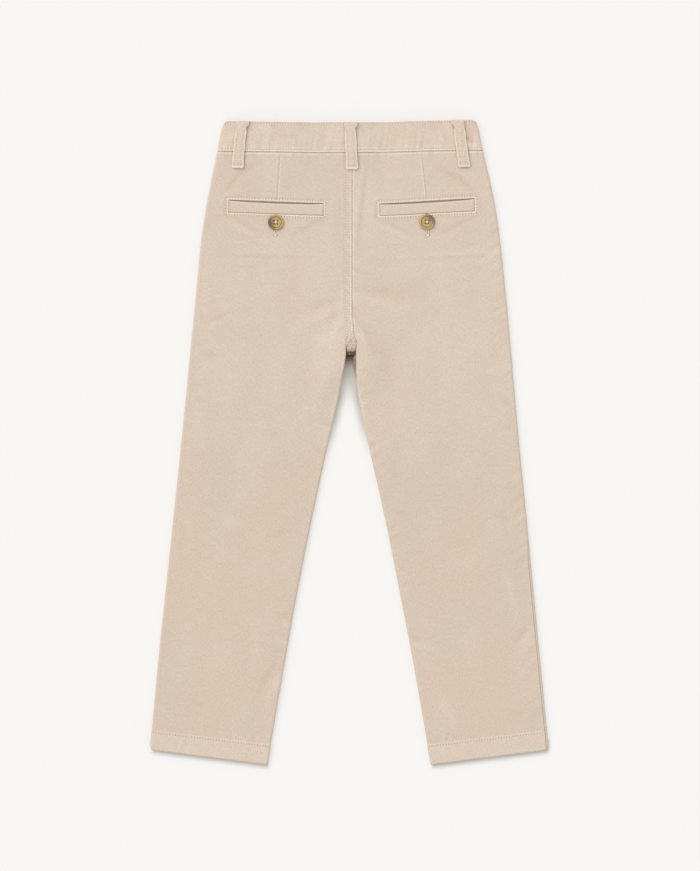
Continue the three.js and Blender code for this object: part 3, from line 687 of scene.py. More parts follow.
# %% [markdown]
# The fronts lie underneath, face down. They are cut back along a slanted pocket mouth, with a
# bearer of the same cloth behind it, and the right front passes behind the left one at the fly.
# They are made in the same way as the backs, on a coarser grid, because their marks are fewer.

# %% Front panels
# the fly's length, and where the slanted pocket mouths begin and end
FLY, MOUTH_X, MOUTH_DROP = 118.0, 94.5, 144.0


def mouth_x(drop):
    """Distance of the front pocket's mouth from the centre: a straight line."""
    side_x = outline("outer_left", np.array(MOUTH_DROP))
    return mix(MOUTH_X, side_x, (drop - BAND) / (MOUTH_DROP - BAND))


def length_from_edge(section, inward):
    """Length of the skin from the outer edge to a distance inward of it."""
    inward = np.maximum(inward, 0)
    arc = section.edge * np.arccos(np.clip(1 - inward / section.edge, -1, 1))
    return np.where(inward < section.edge, arc, inward + section.edge * (np.pi / 2 - 1))


def front_relief(section, x, drop, far):
    """Proud of the front's plain skin: soft drape, a stitched mouth edge, fly and hem."""
    seed = 70 if section.side == "left" else 90
    up = 0.16 * (drift(x, drop * 0.6, 46, seed) - 1) * ease(far / 12) * ease((drop - 34) / 30)
    up = up - 0.4 * bell(drop - BAND - SEAM, 0.9)
    mouth = np.abs(x) - mouth_x(drop)
    up = up - 0.2 * bell(mouth + 6, 0.8) * (drop < MOUTH_DROP + 6)
    hem = section.drop - HEM_ROW
    up = up - 0.3 * bell(hem - HEM_STITCH, 0.7) - 0.4 * (1 - ease((HEM - hem) / 0.9))
    legs = ease((drop - 235) / 30)
    from_inner = section.total - far
    up = up + legs * 0.2 * (pucker(section.drop, 8, seed + 2) - 1) * bell(from_inner - 5, 4)
    return up + 0.15 * (pucker(section.drop, 9, seed + 4) - 1) * bell(far - 5.5, 4)


def front_panel(side):
    """The wall of a front. The left one reaches past the centre at the fly, and the right one
    passes behind it; below the fly both meet, and the right one bulges inward at the crotch."""
    rows = spaced([30.5, 33, 110, 128, 222, 242, 601, 606, 611, 625, SIDE],
                  [0.6, 3, 1.5, 3, 1, 4, 1.2, 0.6, 1.6, 0.5])[:, None]
    s = Section(side, rows, FRONT_OPENS)
    seam = 3.9 * ease((rows - 385) / 60) * (side == "right") - SEAM / 2
    past = (2.0 if side == "left" else 8.0) + SEAM / 2
    fly = past * (1 - ease((rows - FLY + 3) / 7))
    start = -np.where(rows < MOUTH_DROP + 4, np.maximum(
        length_from_edge(s, s.outer - mouth_x(rows)), -seam), -seam)
    end = -(s.total + fly - s.opened * SEAM / 2)
    share = spaced([0, 0.06, 0.9, 0.97, 1], [0.009, 0.024, 0.01, 0.006])
    lengths = start + (end - start) * share
    outer = s.skin(lengths, 0.0, relief=lambda *at: np.minimum(front_relief(*at), 0.0))
    inner = s.skin(lengths, np.where(rows > HEM_ROW + 0.3, HEM_WALL, WALL))
    if side == "right":
        for grid in (outer, inner):
            x = grid[..., 0] - X0
            behind = (1 - ease((x - 2.4) / 5)) * (1 - ease((rows - FLY - 4) / 6))
            grid[..., 2] += (CLOTH + SEAM) * behind * (lengths < 0)
            turned_in = (s.total + lengths) / np.maximum(s.fold, 0.5)
            reach = ease(turned_in / 0.35) * (1 - ease((turned_in - 1.2) / 1.2))
            grid[..., 0] -= 3.3 * reach * bell(rows - 242, 13)
    uv = np.stack([lengths * s.sign, -s.drop + 0 * lengths], -1)
    name = "front_panel_" + side
    # painted shade on the fronts' turned-in inner edges near the crotch, which lie in the shade
    # between the legs
    painted_light_and_wear = -2.0 * ease((-lengths - s.total + 12) / 4) * bell(rows - 240, 16)
    panel = wall(name + "_cloth", outer, inner, uv, None, {"proud": painted_light_and_wear}, replaces=[name])


for side in SIGN:
    front_panel(side)


def front_bearer(side):
    """The cloth in a front pocket's mouth: level with the front at the side, behind it at the
    mouth."""
    rows = spaced([30.5, 158], [4])[:, None]
    s = Section(side, rows, FRONT_OPENS)
    end = length_from_edge(s, s.outer - mouth_x(rows) + 12)
    lengths = -(SEAM / 2 + (end - SEAM / 2) * np.linspace(0, 1, 30))
    plan = s.skin(lengths)
    mouth = np.abs(plan[..., 0] - X0) - mouth_x(rows)
    behind = (CLOTH + SEAM) * (1 - ease((mouth - 2) / 9))
    uv = np.stack([lengths * s.sign, -rows + 0 * lengths], -1)
    name = "pocket_bearer_front_" + side
    piece = wall(name + "_cloth", s.skin(lengths, behind), s.skin(lengths, behind + WALL), uv,
                 replaces=[name])


for side in SIGN:
    front_bearer(side)

# %% [markdown]
# The waistband is one long strip, doubled and interlined, so it is thicker and its edges are
# round. It starts under the centre front, runs over the back and ends behind its own start. It is
# a ring of sections, so the strip is a grid of places along it and drops across it, with faint
# ripples where the two rows of stitches draw it in.

# %% Waistband
# how far the waist button holds the band up, and the drops of its two rows of stitches
BUTTON_LIFT, TOP_ROW, LOW_ROW = 2.8, 1.7, BAND - 2.0


def rounded(t, width):
    """1 at an edge, 0 at the width and past it, along a quarter circle."""
    return 1 - np.sqrt(1 - (1 - np.clip(t / width, 0, 1)) ** 2)


def band_relief(x, drop):
    """Ripples, stitch grooves and a crease at the right end of the waistband, over the back."""
    up = 0.07 * drift(x, drop, 26, 120) + 0.035 * drift(x, drop, 7, 121)
    fine = ease(drop / 3) * ease((BAND - drop) / 3)
    fine = fine * (0.25 + 0.75 * ease((drop - 9) / 12))
    up = up + 0.15 * pucker(x + 0.15 * drop, 5.2, 122) * fine
    up = up - 0.2 * bell(drop - TOP_ROW, 0.55) - 0.26 * bell(drop - LOW_ROW, 0.5)
    up = up + 0.14 * bell(drop - (BAND - 4.0), 1.2) + 0.2 * bell(drop - (BAND - 1.0), 0.6)
    marks = np.array([[119, 20, 50, 15, 3.2, -0.34], [122, 25, 60, 12, 4, 0.26],
                      [-120, 18, -30, 14, 5, 0.16], [-60, 14, 80, 26, 5, -0.09],
                      [52, 15, 95, 30, 5, -0.09], [-18, 18, 12, 14, 4, 0.14]])
    return up + fold_height(marks, x, drop)


def band_painted_light(x, drop):
    """Painted highlight and shade on the band: paler along its lower edge and its ripples, darker
    in its stitch rows and hollows.
    """
    uneven = 1 + 0.35 * pucker(x, 7, 330)
    value = 1.4 * band_relief(x, drop) + 0.8 * uneven * bell(drop - (BAND - 1.0), 0.6)
    return value - 0.2 * bell(drop - TOP_ROW, 0.6) - 0.1 * bell(drop - LOW_ROW, 0.5)


def band_surface(x, drop):
    """Height of the waistband's outside over the back, for places between the folded edges."""
    s = {side: Section(side, drop, BACK_OPENS) for side in SIGN}
    left, right = (s[side].top(s[side].outer - np.abs(x), x, drop, groove=False) for side in SIGN)
    return np.where(x < 0, left, right) + 0.3 + band_relief(x, drop)


def band_ring(drop, back, dressed):
    """The strip's points at some drops, set back from its outside."""
    def risen(length):
        """Set back 0.3 mm less over the back, where the band lies on the panels."""
        return back - 0.3 * np.clip(1 + length / 5, 0, 1)

    def half(side):
        """The part under the front, and the turn round the outer edge."""
        s = Section(side, drop, BACK_OPENS)
        under = -s.length_at(spaced([112, 14], [2.4]))
        arc = np.linspace(-6, 6, 19) + 0 * drop
        first = s.skin(under, back)
        turn = s.skin(arc, risen(arc), groove=False, relief=lambda q, x, d, far: (
            band_relief(x, d) * ease((far - 3) / 5) * (arc > 0) if dressed else 0 * far))
        return first, turn

    left_under, left_turn = half("left")
    right_under, right_turn = half("right")
    x = mix(left_turn[:, -1:, 0], right_turn[:, -1:, 0], np.linspace(0, 1, 160)[1:-1]) - X0
    far = np.where(x < 0, Section("left", drop, BACK_OPENS).length_at(-x),
                   Section("right", drop, BACK_OPENS).length_at(x))
    top = band_surface(x, drop + 0 * x) - (0 if dressed else band_relief(x, drop + 0 * x))
    over = at(x, drop + corner_shift(far, drop), top - back)
    start_x = np.array([11.0, 8, 5, 2, -1, -4, -7, -10]) + 0 * drop
    start = at(start_x, drop + 0 * start_x, lift(start_x, drop) + back)
    end_x = spaced([11, -25], [2.6]) + 0 * drop
    behind = BUTTON_LIFT * (1 - ease((drop - 26) / 24)) + 1.9
    end = at(end_x, drop + 0 * end_x, behind + back + 0 * end_x)
    ramp = ease((26 - (right_under[..., 0] - X0)) / 13)
    right_under[..., 2] = mix(right_under[..., 2], behind + back, ramp)
    return np.concatenate([start, left_under[:, ::-1], left_turn, over,
                           right_turn[:, ::-1], right_under, end], 1)


def band_edge(drop, side):
    """Where the rows of stitches over the back end."""
    return SIGN[side] * (outline("outer_" + side, drop) - 5)


def band_length(drop):
    """Length of a row of stitches over the back."""
    return band_edge(drop, "right") - band_edge(drop, "left")


def waistband():
    """The strip's wall, 1.55 mm thick with edges that are rounded over 0.9 mm."""
    drops = spaced([0, 0.9, 4, 25.5, BAND - 0.9, BAND], [0.18, 0.45, 1.2, 0.45, 0.18])[:, None]
    soft = 0.62 * rounded(np.minimum(drops, BAND - drops), 0.9)
    outer, inner = band_ring(drops, soft, True), band_ring(drops, 1.55 - soft, False)
    along = np.linalg.norm(np.diff(outer, axis=1), axis=-1)
    u = np.concatenate([0 * drops, along.cumsum(1)], 1)
    uv = np.stack([u, -drops + 0 * u], -1)
    x = outer[..., 0] - X0
    # painted highlight and shade on the band, only where it lies over the back
    painted_light_and_wear = band_painted_light(x, drops + 0 * x) * ease((outer[..., 2] - 3) / 2)
    near = bell(drops - TOP_ROW, 0.7) + 0.9 * bell(drops - LOW_ROW + 0.1, 0.7)
    near = (near + 0 * x) * (outer[..., 2] > 4)
    number = (x - band_edge(drops, "left")) / band_length(drops) * stitches(band_length(drops))
    band = wall("waistband_cloth", outer, inner, uv, None,
                {"proud": painted_light_and_wear, "row": near, "number": number}, replaces=["waistband"])


waistband()

# %% [markdown]
# A belt loop is a narrow strip with its edges turned in and two rows of stitches. Its top end is
# folded over the waistband's edge, where it is widest, and its lower end is folded under and sewn
# down below the waist seam. Between them it stands free of the band, with a shadow beside it.

# %% Belt loops
# each back loop's place across, at its top and at its foot
LOOPS = {"left": (-107.8, -112.3), "centre": (0.0, 1.9), "right": (107.5, 114.0)}

# where a loop's two rows of stitches begin and end, and their distance from its middle
LOOP_FROM, LOOP_TO, LOOP_OFF = 7.5, 45.0, 2.6


def loop_width(drop):
    """11.4 mm, spread at the foot down to two round corners, and a little rounded at the top."""
    foot = 1.0 * ease((drop - LOOP + 7) / 4)
    corner = 4.4 * rounded(LOOP - drop, 2.6) + 1.4 * rounded(drop + 0.4, 0.9)
    return 11.4 + foot - corner


def loop_cap(drop, across, side):
    """Sideways: the folded top is wider, most on the side where the loop stands further off."""
    cap = 1 - ease((drop - 4.4) / 1.8)
    return cap * (0.4 * across + 1.5 * side * ease(across * side * 2))


def loop_free(drop):
    """1 where a loop stands free of the band, 0 where it is sewn down."""
    return ease((drop - 5) / 5) * ease((LOOP - 7 - drop) / 5)


def loop_grid(top_x, low_x, height, across, side):
    """Plan positions across and along a loop, with the height that a function gives them."""
    drops = spaced([0.1, 0.7, 8.4, LOOP - 8, LOOP - 4, LOOP], [0.2, 0.4, 1.0, 0.5, 0.27])
    drops = drops[:, None]
    wander = 0.25 * drift(drops, drops * 0, 16, int(abs(top_x)) + 7)
    x = mix(top_x, low_x, drops / LOOP) + across * loop_width(drops) + wander
    x = x + loop_cap(drops, across, side)
    return at(x, drops + 0 * x, height(x, drops + 0 * x, across + 0 * x)), x, drops + 0 * x


def loop_base(middle, drop):
    """The waistband's or the back's height under a loop, kept clear of the seat seam's groove."""
    side = "left" if middle < 0 else "right"
    clear = middle + (12 if abs(middle) < 20 else 0)
    held = np.maximum(drop, 0)
    s = Section(side, held, BACK_OPENS)
    level = s.top(s.outer - abs(clear), clear, held)
    return level + 0.7 * (lift(middle, held) - lift(clear, held)) + 0.6


def loop_relief(across, drop, seed):
    """Proud of a loop's flat face: two stitch grooves, a soft middle, a rim round its folded foot
    and a tuck under the cap at its top."""
    off = np.abs(across) * 11
    up = 0.18 * bell(off, 1.8) - 0.2 * bell(off - 2.7, 0.6) * ease((drop - 7) / 3)
    foot = LOOP - drop
    up = up + 0.3 * bell(foot - 1.3, 0.9) - 0.25 * bell(foot - 3.2, 0.8)
    up = up - 0.35 * bell(drop - 6.0, 1.1) * ease((off - 3.6) / 1.6) + 0.15 * bell(drop - 3.4, 1.6)
    up = up - 0.2 * bell(drop - 1.4, 0.5)
    return up + 0.04 * drift(across * 11, drop, 6, seed) + 0.04 * pucker(drop, 3.4, seed + 1)


def loop_painted_light(across, drop, side):
    """Painted highlight on the rims and the folded foot, painted shade in the stitch lines, just
    above the foot and in the tucks below the cap, most on the side where the loop stands further
    off.
    """
    off, foot = np.abs(across) * 11, LOOP - drop
    value = 0.6 * ease((off - 4.0) / 0.8) * ease((drop - 9) / 3) + 1.2 * bell(foot - 1.1, 0.8)
    value = value - 0.3 * bell(off - 2.7, 0.6) * ease((drop - 7) / 3) - 0.25 * bell(foot - 3.4, 0.8)
    tuck = bell(drop - 7.2, 1.8) * ease((off - 4.0) / 1.2)
    value = value - tuck * (0.2 + 1.4 * (across * side > 0)) - 0.25 * bell(drop - 1.8, 0.5)
    return value + 0.12 * drift(across * 11, drop, 4, 310 + int(side))


def belt_loop(name, top_x, low_x, front):
    """A loop over the back or, plainer, under the front."""
    across = 0.5 * np.sin(np.linspace(-np.pi / 2, np.pi / 2, 31))
    seed = 160 + int(abs(top_x))
    side = -1.0 if low_x > 20 else 1.0  # the side on which the loop stands further off

    def middle(drop):
        return mix(top_x, low_x, drop / LOOP)

    def back_face(x, drop, a):
        """The base, 2.1 mm up less the sewn ends and the soft edges, and the relief."""
        ends = 0.6 * ease((2 - drop) / 3) + 0.75 * ease((drop - LOOP + 3) / 3)
        soft = 0.45 * rounded(0.5 - np.abs(a), 0.07)
        up = loop_relief(a, drop, seed) + 0.3 * side * a
        return loop_base(middle(20.0), drop) + 2.1 - ends - soft + up

    def back_under(x, drop, a):
        return loop_base(middle(20.0), drop) + 0.9 * loop_free(drop)

    def front_face(x, drop, a):
        return 0.35 * ease((1 - drop) / 2) + 0.35 * rounded(0.5 - np.abs(a), 0.09)

    def front_under(x, drop, a):
        return mix(1.4, 1.15, loop_free(drop))

    face, under = (front_face, front_under) if front else (back_face, back_under)
    outer, x, drop = loop_grid(top_x, low_x, face, across, side)
    inner, _, _ = loop_grid(top_x, low_x, under, across, side)
    uv = np.stack([x, -drop], -1)
    off = np.abs(x - middle(drop))
    # painted highlight and shade on the loop, and its stitch rows
    painted_light_and_wear = {"proud": loop_painted_light(across + 0 * drop, drop, side),
            "row": 0.35 * bell(off - 2.9, 0.6) * ease((drop - 7) / 2) * ease((LOOP - 3 - drop) / 2),
            "number": (drop - LOOP_FROM) / (LOOP_TO - LOOP_FROM) * 14}
    loop = wall(name + "_cloth", outer, inner, uv, None, painted_light_and_wear, replaces=[name])


for place, (top_x, low_x) in LOOPS.items():
    belt_loop("belt_loop_back_" + place, top_x, low_x, front=False)
for side, sign in SIGN.items():
    belt_loop("belt_loop_front_" + side, sign * 62, sign * 62, front=True)

# %% [markdown]
# The pocket's welt is a narrow doubled strip that fills its opening but for a slit along the top,
# and a bearer of the same cloth closes the slit from behind. The slit is left open, because the
# dark line in a welt pocket is a real gap with a shadow in it and moves as the view does. Painted
# shade darkens the bearer and the welt's ends and foot as well, and a painted highlight its top.

# %% Welts and bearers of the back pockets
def on_back(side, along, down, proud):
    """A point at a place in the pocket's axes, a height over the plain back."""
    x, drop = pocket_place(side, along, down)
    s = Section(side, drop, BACK_OPENS)
    x = s.sign * x
    return at(x, drop, s.top(s.outer - np.abs(x), x, drop) + proud)


def welt(side):
    """The strip lies a little under the back's edge at its ends and foot; its top edge sags away
    from the opening, most in the middle, and leaves a slit that narrows to both ends."""
    seed = 200 if side == "left" else 220
    l, top, low = POCKET_L / 2 + 0.3, -POCKET_H / 2 + 0.25, POCKET_H / 2 + 0.3
    along = spaced([-l, -l + 1.5, l - 1.5, l], [0.3, 1.4, 0.3])[None, :]
    down = spaced([top, top + 1.5, low - 1.5, low], [0.25, 0.8, 0.25])[:, None]
    slit = 1.55 * np.clip(1 - (along / l) ** 2, 0, 1) ** 0.6
    edge = np.minimum(l - np.abs(along), low - down)
    proud = 0.3 - 0.5 * rounded(edge, 1.2) - 0.45 * rounded(down - top, 1.1)
    proud = proud + 0.06 * drift(along, down, 8, seed) + 0.1 * drift(along, down * 0, 24, seed + 1)
    place = down + slit * (1 - (down - top) / (low - top))
    grid = on_back(side, along + 0 * down, place, proud)
    inner = on_back(side, along + 0 * down, place, -WALL + 0 * proud)
    uv = np.stack([along + 0 * down, -down + 0 * along], -1)
    # painted highlight along the welt's top, painted shade at its ends and foot
    painted_light_and_wear = 0.3 * bell(down - top - 1, 0.8) - 1.0 * bell(l - np.abs(along) - 0.4, 0.6) + 0 * proud
    painted_light_and_wear = painted_light_and_wear - 1.3 * bell(low - down - 0.5, 0.7)
    name = "pocket_welt_" + side
    strip = wall(name + "_cloth", grid, inner, uv, None, {"proud": painted_light_and_wear}, replaces=[name])


def bearer(side):
    """The cloth behind a pocket's opening, 3 mm longer at each end and 6 mm higher and lower."""
    l, h, deep = POCKET_L / 2 + 3, POCKET_H / 2 + 6, 1.3
    along, down = np.meshgrid(np.linspace(-l, l, 60), np.linspace(-h, h, 20))
    name = "pocket_bearer_back_" + side
    # the bearer is painted darker by its depth below the back: painted shade behind the slit
    piece = wall(name + "_cloth", on_back(side, along, down, -deep),
                 on_back(side, along, down, -deep - WALL), np.stack([along, -down], -1), None,
                 {"proud": 0 * along - deep}, replaces=[name])


for side in SIGN:
    welt(side)
    bearer(side)

# %% [markdown]
# The two backs are joined by a felled seam: the allowances are turned to one side and sewn down
# twice, so that a flat raised strip runs from the waist to the crotch. At the crotch four seams
# meet in a thick puckered knob that turns down between the legs.

# %% Seat seam
SEAT_FROM, SEAT_TO = 49.5, 224.0  # where its two rows of stitches begin and end


def seat_seam():
    """The strip lies on the backs, 0.3 mm proud of the plain seat, and turns down over a quarter
    of an ellipse at the crotch, where it widens into the knob."""
    turn_from, turn_over, end_z = 214.0, 20.0, 2.3
    share = spaced([0, 0.985], [0.018])
    drops = np.concatenate([spaced([30.5, turn_from], [0.7])[:-1], turn_from + turn_over * share])
    drops = drops[:, None]
    a = 0.5 * np.sin(np.linspace(-np.pi / 2, np.pi / 2, 33))
    along = np.clip((drops - turn_from) / turn_over, 0, 1)
    knob = ease((drops - 212) / 8)
    wide = mix(1.05, 1.5, bell(drops - 220.5, 4.0)) * mix(1, 0.97, ease((drops - 223) / 10))
    wide = wide + 0.22 * ease((drops - 219) / 4)
    middle = seam_x(drops) + mix(-0.85, -0.1, knob)
    x = middle + a * FELL * wide
    held = np.minimum(drops, 168.0)
    s = Section("right", held, BACK_OPENS)
    level = s.top(s.outer - 12, 12.0, held) + 0.7 * (lift(0, drops) - lift(12, drops))
    level = level + bulk_at(np.minimum(drops, 222)) - 0.3 * ease((drops - 168) / 37)
    turned = np.sqrt(1 - along**2)
    right, left = (0.5 - a) * FELL * wide, (a + 0.5) * FELL * wide
    up = -0.3 * rounded(right, 0.7) - mix(0.5, 0.35, knob) * (1 - ease(left / mix(1.8, 0.9, knob)))
    up = up + (1 - knob) * (0.16 * bell(right - 0.9, 0.8) - 0.16 * bell(right - 2.0, 0.5))
    up = up - (1 - knob) * 0.14 * bell(left - 1.3, 0.5)
    ripple = pucker(drops - 0.9 * x, 6.5, 240) * ease(right / 1.2) * ease(left / 1.2)
    up = up + mix(0.09, 0.06, knob) * ripple + 0.06 * drift(x, drops, 4, 241)
    folds = 0.6 * drift(x * 2.2 + 0.6 * drops, drops * 0.35, 5.2, 242)
    folds = folds + 0.5 * drift(x, drops, 2.6, 243)
    up = up + knob * 0.5 * folds * ease(right / 1.0) * ease(left / 1.0)
    outer = at(x, drops + 0 * x, mix(end_z, level + SEAM, turned) + up)
    inner = at(x, drops + 0 * x, mix(end_z, level + SEAM, turned) - 1.1)
    uv = np.stack([x, -drops + 0 * x], -1)
    # painted highlight beside the strip's right edge, painted shade beside its left; on the knob
    # painted light and shade on its folds, painted shade along its edges and darkest at its foot
    painted_light_and_wear = 0.2 * ripple * (1 - knob) + 0.45 * (1 - knob) * bell(right - 1.9, 0.5)
    painted_light_and_wear = painted_light_and_wear - (1 - knob) * 0.3 * bell(left - 1.2, 0.8)
    edges = bell(right, 1.0) + bell(left, 1.0)
    painted_light_and_wear = painted_light_and_wear + knob * (0.8 * folds - 0.35 - 1.1 * edges) - 2.4 * ease((drops - 227) / 5)
    off = x - seam_x(drops)
    near = 0.55 * bell(off + FELL / 2 + 0.1, 0.75) + 0.7 * bell(off - FELL / 2 + 2.4, 0.6)
    near = near * (1 - ease((drops - 221) / 3)) * ease((drops - 49) / 2)
    sewn = SEAT_TO - SEAT_FROM
    number = (drops - SEAT_FROM) / sewn * stitches(sewn) + 0 * x
    strip = wall("seat_seam_cloth", outer, inner, uv, None,
                 {"proud": painted_light_and_wear, "row": near, "number": number}, replaces=["seat_seam"])


seat_seam()

# %% [markdown]
# The buttons are turned from horn: a rounded rim, a narrow groove inside it, a shallow dish and
# four holes. A turned shape is a profile carried round a circle, so the grid's one direction is
# the angle and the other the profile. The holes are cut with a Boolean modifier, because a hole
# through a turned grid would need its own pattern of cells round it.

# %% Turned buttons
BUTTON_R, HOLE, HOLE_R = 7.75, 1.6, 0.85
# radius and height, from the middle of the lower face round the rim to the middle of the dish
PROFILE = np.array([
    [0.02, 0], [3, 0], [5.6, 0], [6.3, 0.1], [6.9, 0.42], [7.45, 0.85], [7.72, 1.3], [7.72, 1.65],
    [7.5, 2.1], [7.1, 2.38], [6.6, 2.5], [6.15, 2.46], [5.75, 2.28], [5.5, 1.95], [5.3, 1.82],
    [5.1, 1.86], [4.8, 1.95], [4.2, 1.9], [3.2, 1.76], [2.2, 1.68], [1.2, 1.64], [0.02, 1.63],
])


def turned(profile, around, centre, up=1.0):
    """Points of a profile of (radius, height) carried round the z axis, and its closed faces."""
    angle = np.linspace(0, 2 * np.pi, around + 1)[:-1]
    radius, height = profile[:, :1], profile[:, 1:]
    x, y = radius * np.cos(angle), radius * np.sin(angle) * up
    points = np.stack([x + centre[0], y + centre[1], height * up + centre[2] + 0 * x], -1)
    i, j = np.mgrid[: len(profile) - 1, :around]
    a, b = i * around + j, i * around + (j + 1) % around
    faces = np.stack([a, b, b + around, a + around], -1).reshape(-1, 4)
    return points.reshape(-1, 3), faces


def close_poles(piece):
    """Fill the two small rings at the axis and turn all faces outwards."""
    shape = bmesh.new()
    shape.from_mesh(piece.data)
    bmesh.ops.remove_doubles(shape, verts=shape.verts, dist=1e-6)
    bmesh.ops.holes_fill(shape, edges=[e for e in shape.edges if e.is_boundary], sides=0)
    bmesh.ops.recalc_face_normals(shape, faces=shape.faces)
    shape.to_mesh(piece.data)
    shape.free()


def cut_holes(piece, centre):
    """Cut four round holes with a Boolean modifier, and apply it."""
    rod = np.array([[0.01, -2], [HOLE_R, -2], [HOLE_R, 6], [0.01, 6]])
    parts = [turned(rod, 20, (centre[0] + i * HOLE, centre[1] + j * HOLE, centre[2] - 1.5))
             for i in (-1, 1) for j in (-1, 1)]
    points = np.concatenate([p for p, _ in parts])
    faces = np.concatenate([f + k * len(parts[0][0]) for k, (_, f) in enumerate(parts)])
    mesh = bpy.data.meshes.new("drill")
    mesh.from_pydata((points * MM).tolist(), [], faces.tolist())
    drill = bpy.data.objects.new("drill", mesh)
    bpy.context.scene.collection.objects.link(drill)
    close_poles(drill)
    cutter = piece.modifiers.new("holes", "BOOLEAN")
    cutter.operation, cutter.object, cutter.solver = "DIFFERENCE", drill, "EXACT"
    graph = bpy.context.evaluated_depsgraph_get()
    done = bpy.data.meshes.new_from_object(piece.evaluated_get(graph))
    piece.modifiers.clear()
    piece.data = done
    bpy.data.objects.remove(drill)


def button(node, up):
    """The button in a solid's box, face up (1) or down (-1), and its middle in millimetres."""
    low, high = (np.array(corner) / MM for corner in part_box(node))
    centre = (low + high) / 2
    centre[2] = low[2] if up > 0 else high[2]
    points, faces = turned(PROFILE, 72, centre, up)
    piece = mesh_piece(node + "_horn", points, faces, slot="horn", replaces=[node])
    close_poles(piece)
    cut_holes(piece, centre)
    piece.data.polygons.foreach_set("use_smooth", np.ones(len(piece.data.polygons), bool))
    piece.data.set_sharp_from_angle(angle=0.9)
    return centre


BUTTONS = {node: button(node, up) for node, up in
           [("pocket_button_left", 1.0), ("pocket_button_right", 1.0), ("waist_button", -1.0)]}
print("buttons at", {name: c.round(1).tolist() for name, c in BUTTONS.items()})

# %% [markdown]
# Sewing is real thread here: each stitch is a short arched tube that dives into the cloth at both
# ends. A row is a path over the cloth, divided by the stitch pitch, and all its stitches are one
# mesh. A tube of five sides and four rings is enough at this size, because there are thousands.

# %% Thread
THREAD_R = 0.3
thread_parts = {}


def tubes(paths, ups, radius):
    """Closed tubes round many short paths at once: points of shape (stitches, steps, 3)."""
    count, steps = paths.shape[:2]
    forward = np.gradient(paths, axis=1)
    forward /= np.linalg.norm(forward, axis=-1, keepdims=True)
    side = np.cross(forward, ups)
    side /= np.linalg.norm(side, axis=-1, keepdims=True)
    up = np.cross(side, forward)
    sides = 5
    angle = np.arange(sides) * 2 * np.pi / sides
    girth = radius * np.sqrt(np.clip(1 - np.linspace(-0.97, 0.97, steps) ** 4 * 0.6, 0.1, 1))
    ring = girth[None, :, None, None] * (
        np.cos(angle)[:, None] * side[:, :, None] + np.sin(angle)[:, None] * up[:, :, None])
    points = (paths[:, :, None] + ring).reshape(-1, 3)
    i, j = np.mgrid[: steps - 1, :sides]
    a, b = i * sides + j, i * sides + (j + 1) % sides
    body = np.stack([a, b, b + sides, a + sides], -1).reshape(-1, 4)
    fan = np.array([[0, 1, 2, 3], [0, 3, 4, 4]])
    last = (steps - 1) * sides
    cap = np.array([[3, 2, 1, 0], [4, 3, 0, 0]])
    quads = np.concatenate([body, cap, last + fan])
    faces = (quads[None] + (np.arange(count) * steps * sides)[:, None, None]).reshape(-1, 4)
    share = np.abs(np.linspace(-1, 1, steps))[None, :, None] + np.zeros((count, steps, sides))
    return points, faces, share.ravel()


def add_tubes(group, paths, ups, radius, dots=1.0):
    """Keep tubes for the mesh of their group, with the share of the way to each stitch's end."""
    points, faces, share = tubes(paths, ups, radius)
    thread_parts.setdefault(group, []).append((points, faces, share * dots))


def way_along(points):
    """Length of a path up to each of its points."""
    return np.concatenate([[0], np.linalg.norm(np.diff(points, axis=0), axis=1).cumsum()])


def sew(group, place, path, pitch=PITCH, gap=0.75, radius=THREAD_R, arch=0.2, sink=0.12, dots=0.8):
    """Stitches along a path of parameters: place(parameters) gives points and ups. Each stitch is
    a pitch long less a gap, arched by a sine and sunk at its ends."""
    length = way_along(place(path)[0])
    count = int(stitches(length[-1], pitch))
    pick = np.random.default_rng(len(path) + count)
    middle = (np.arange(count) + 0.5 + pick.uniform(-0.06, 0.06, count)) / count * length[-1]
    half = (length[-1] / count - gap) / 2
    t = np.linspace(-1, 1, 7)
    wanted = np.clip(middle[:, None] + half * t, 0, length[-1])
    parameters = np.stack([np.interp(wanted, length, path[:, k]) for k in range(path.shape[1])], -1)
    spots, ups = place(parameters)
    rise = (arch * np.cos(t * np.pi / 2) - sink * np.abs(t) ** 3)[None, :, None]
    add_tubes(group, spots + ups * rise, ups, radius, dots)
    return count


def up_of(points):
    """Straight up, for each of some points."""
    ups = np.zeros_like(points)
    ups[..., 2] = 1
    return ups


def on_panel(side, opens=BACK_OPENS, relief=back_relief):
    """Places on a panel from (section drop, length along the skin)."""
    def place(path):
        s = Section(side, path[..., 0], opens)
        points = s.skin(path[..., 1], 0.0, relief=relief)
        ups = s.skin(path[..., 1], -1.0) - s.skin(path[..., 1], 0.0)
        return points, ups / np.linalg.norm(ups, axis=-1, keepdims=True)
    return place


def on_pocket(side):
    """Places round a back pocket from its own axes."""
    def place(path):
        x, drop = pocket_place(side, path[..., 0], path[..., 1])
        s = Section(side, drop, BACK_OPENS)
        points = s.skin(s.length_at(x), 0.0, relief=back_relief)
        return points, up_of(points)
    return place


def on_band(path):
    """Places on the waistband over the back, from (x, drop)."""
    x, drop = path[..., 0], path[..., 1]
    points = at(x, drop, band_surface(x, drop))
    return points, up_of(points)


def line(*corners, step=0.5):
    """A path of points through corners, closely spaced."""
    corners = np.array(corners, float)
    length = way_along(corners)
    t = np.linspace(0, length[-1], max(2, int(length[-1] / step)))
    return np.stack([np.interp(t, length, corners[:, k]) for k in range(corners.shape[1])], -1)


print("points on a path of 10 mm:", len(line((0, 0), (6, 8))))

# %% [markdown]
# The long rows come first: two along the waistband, one round each pocket and one along each hem,
# over the back and over the front.

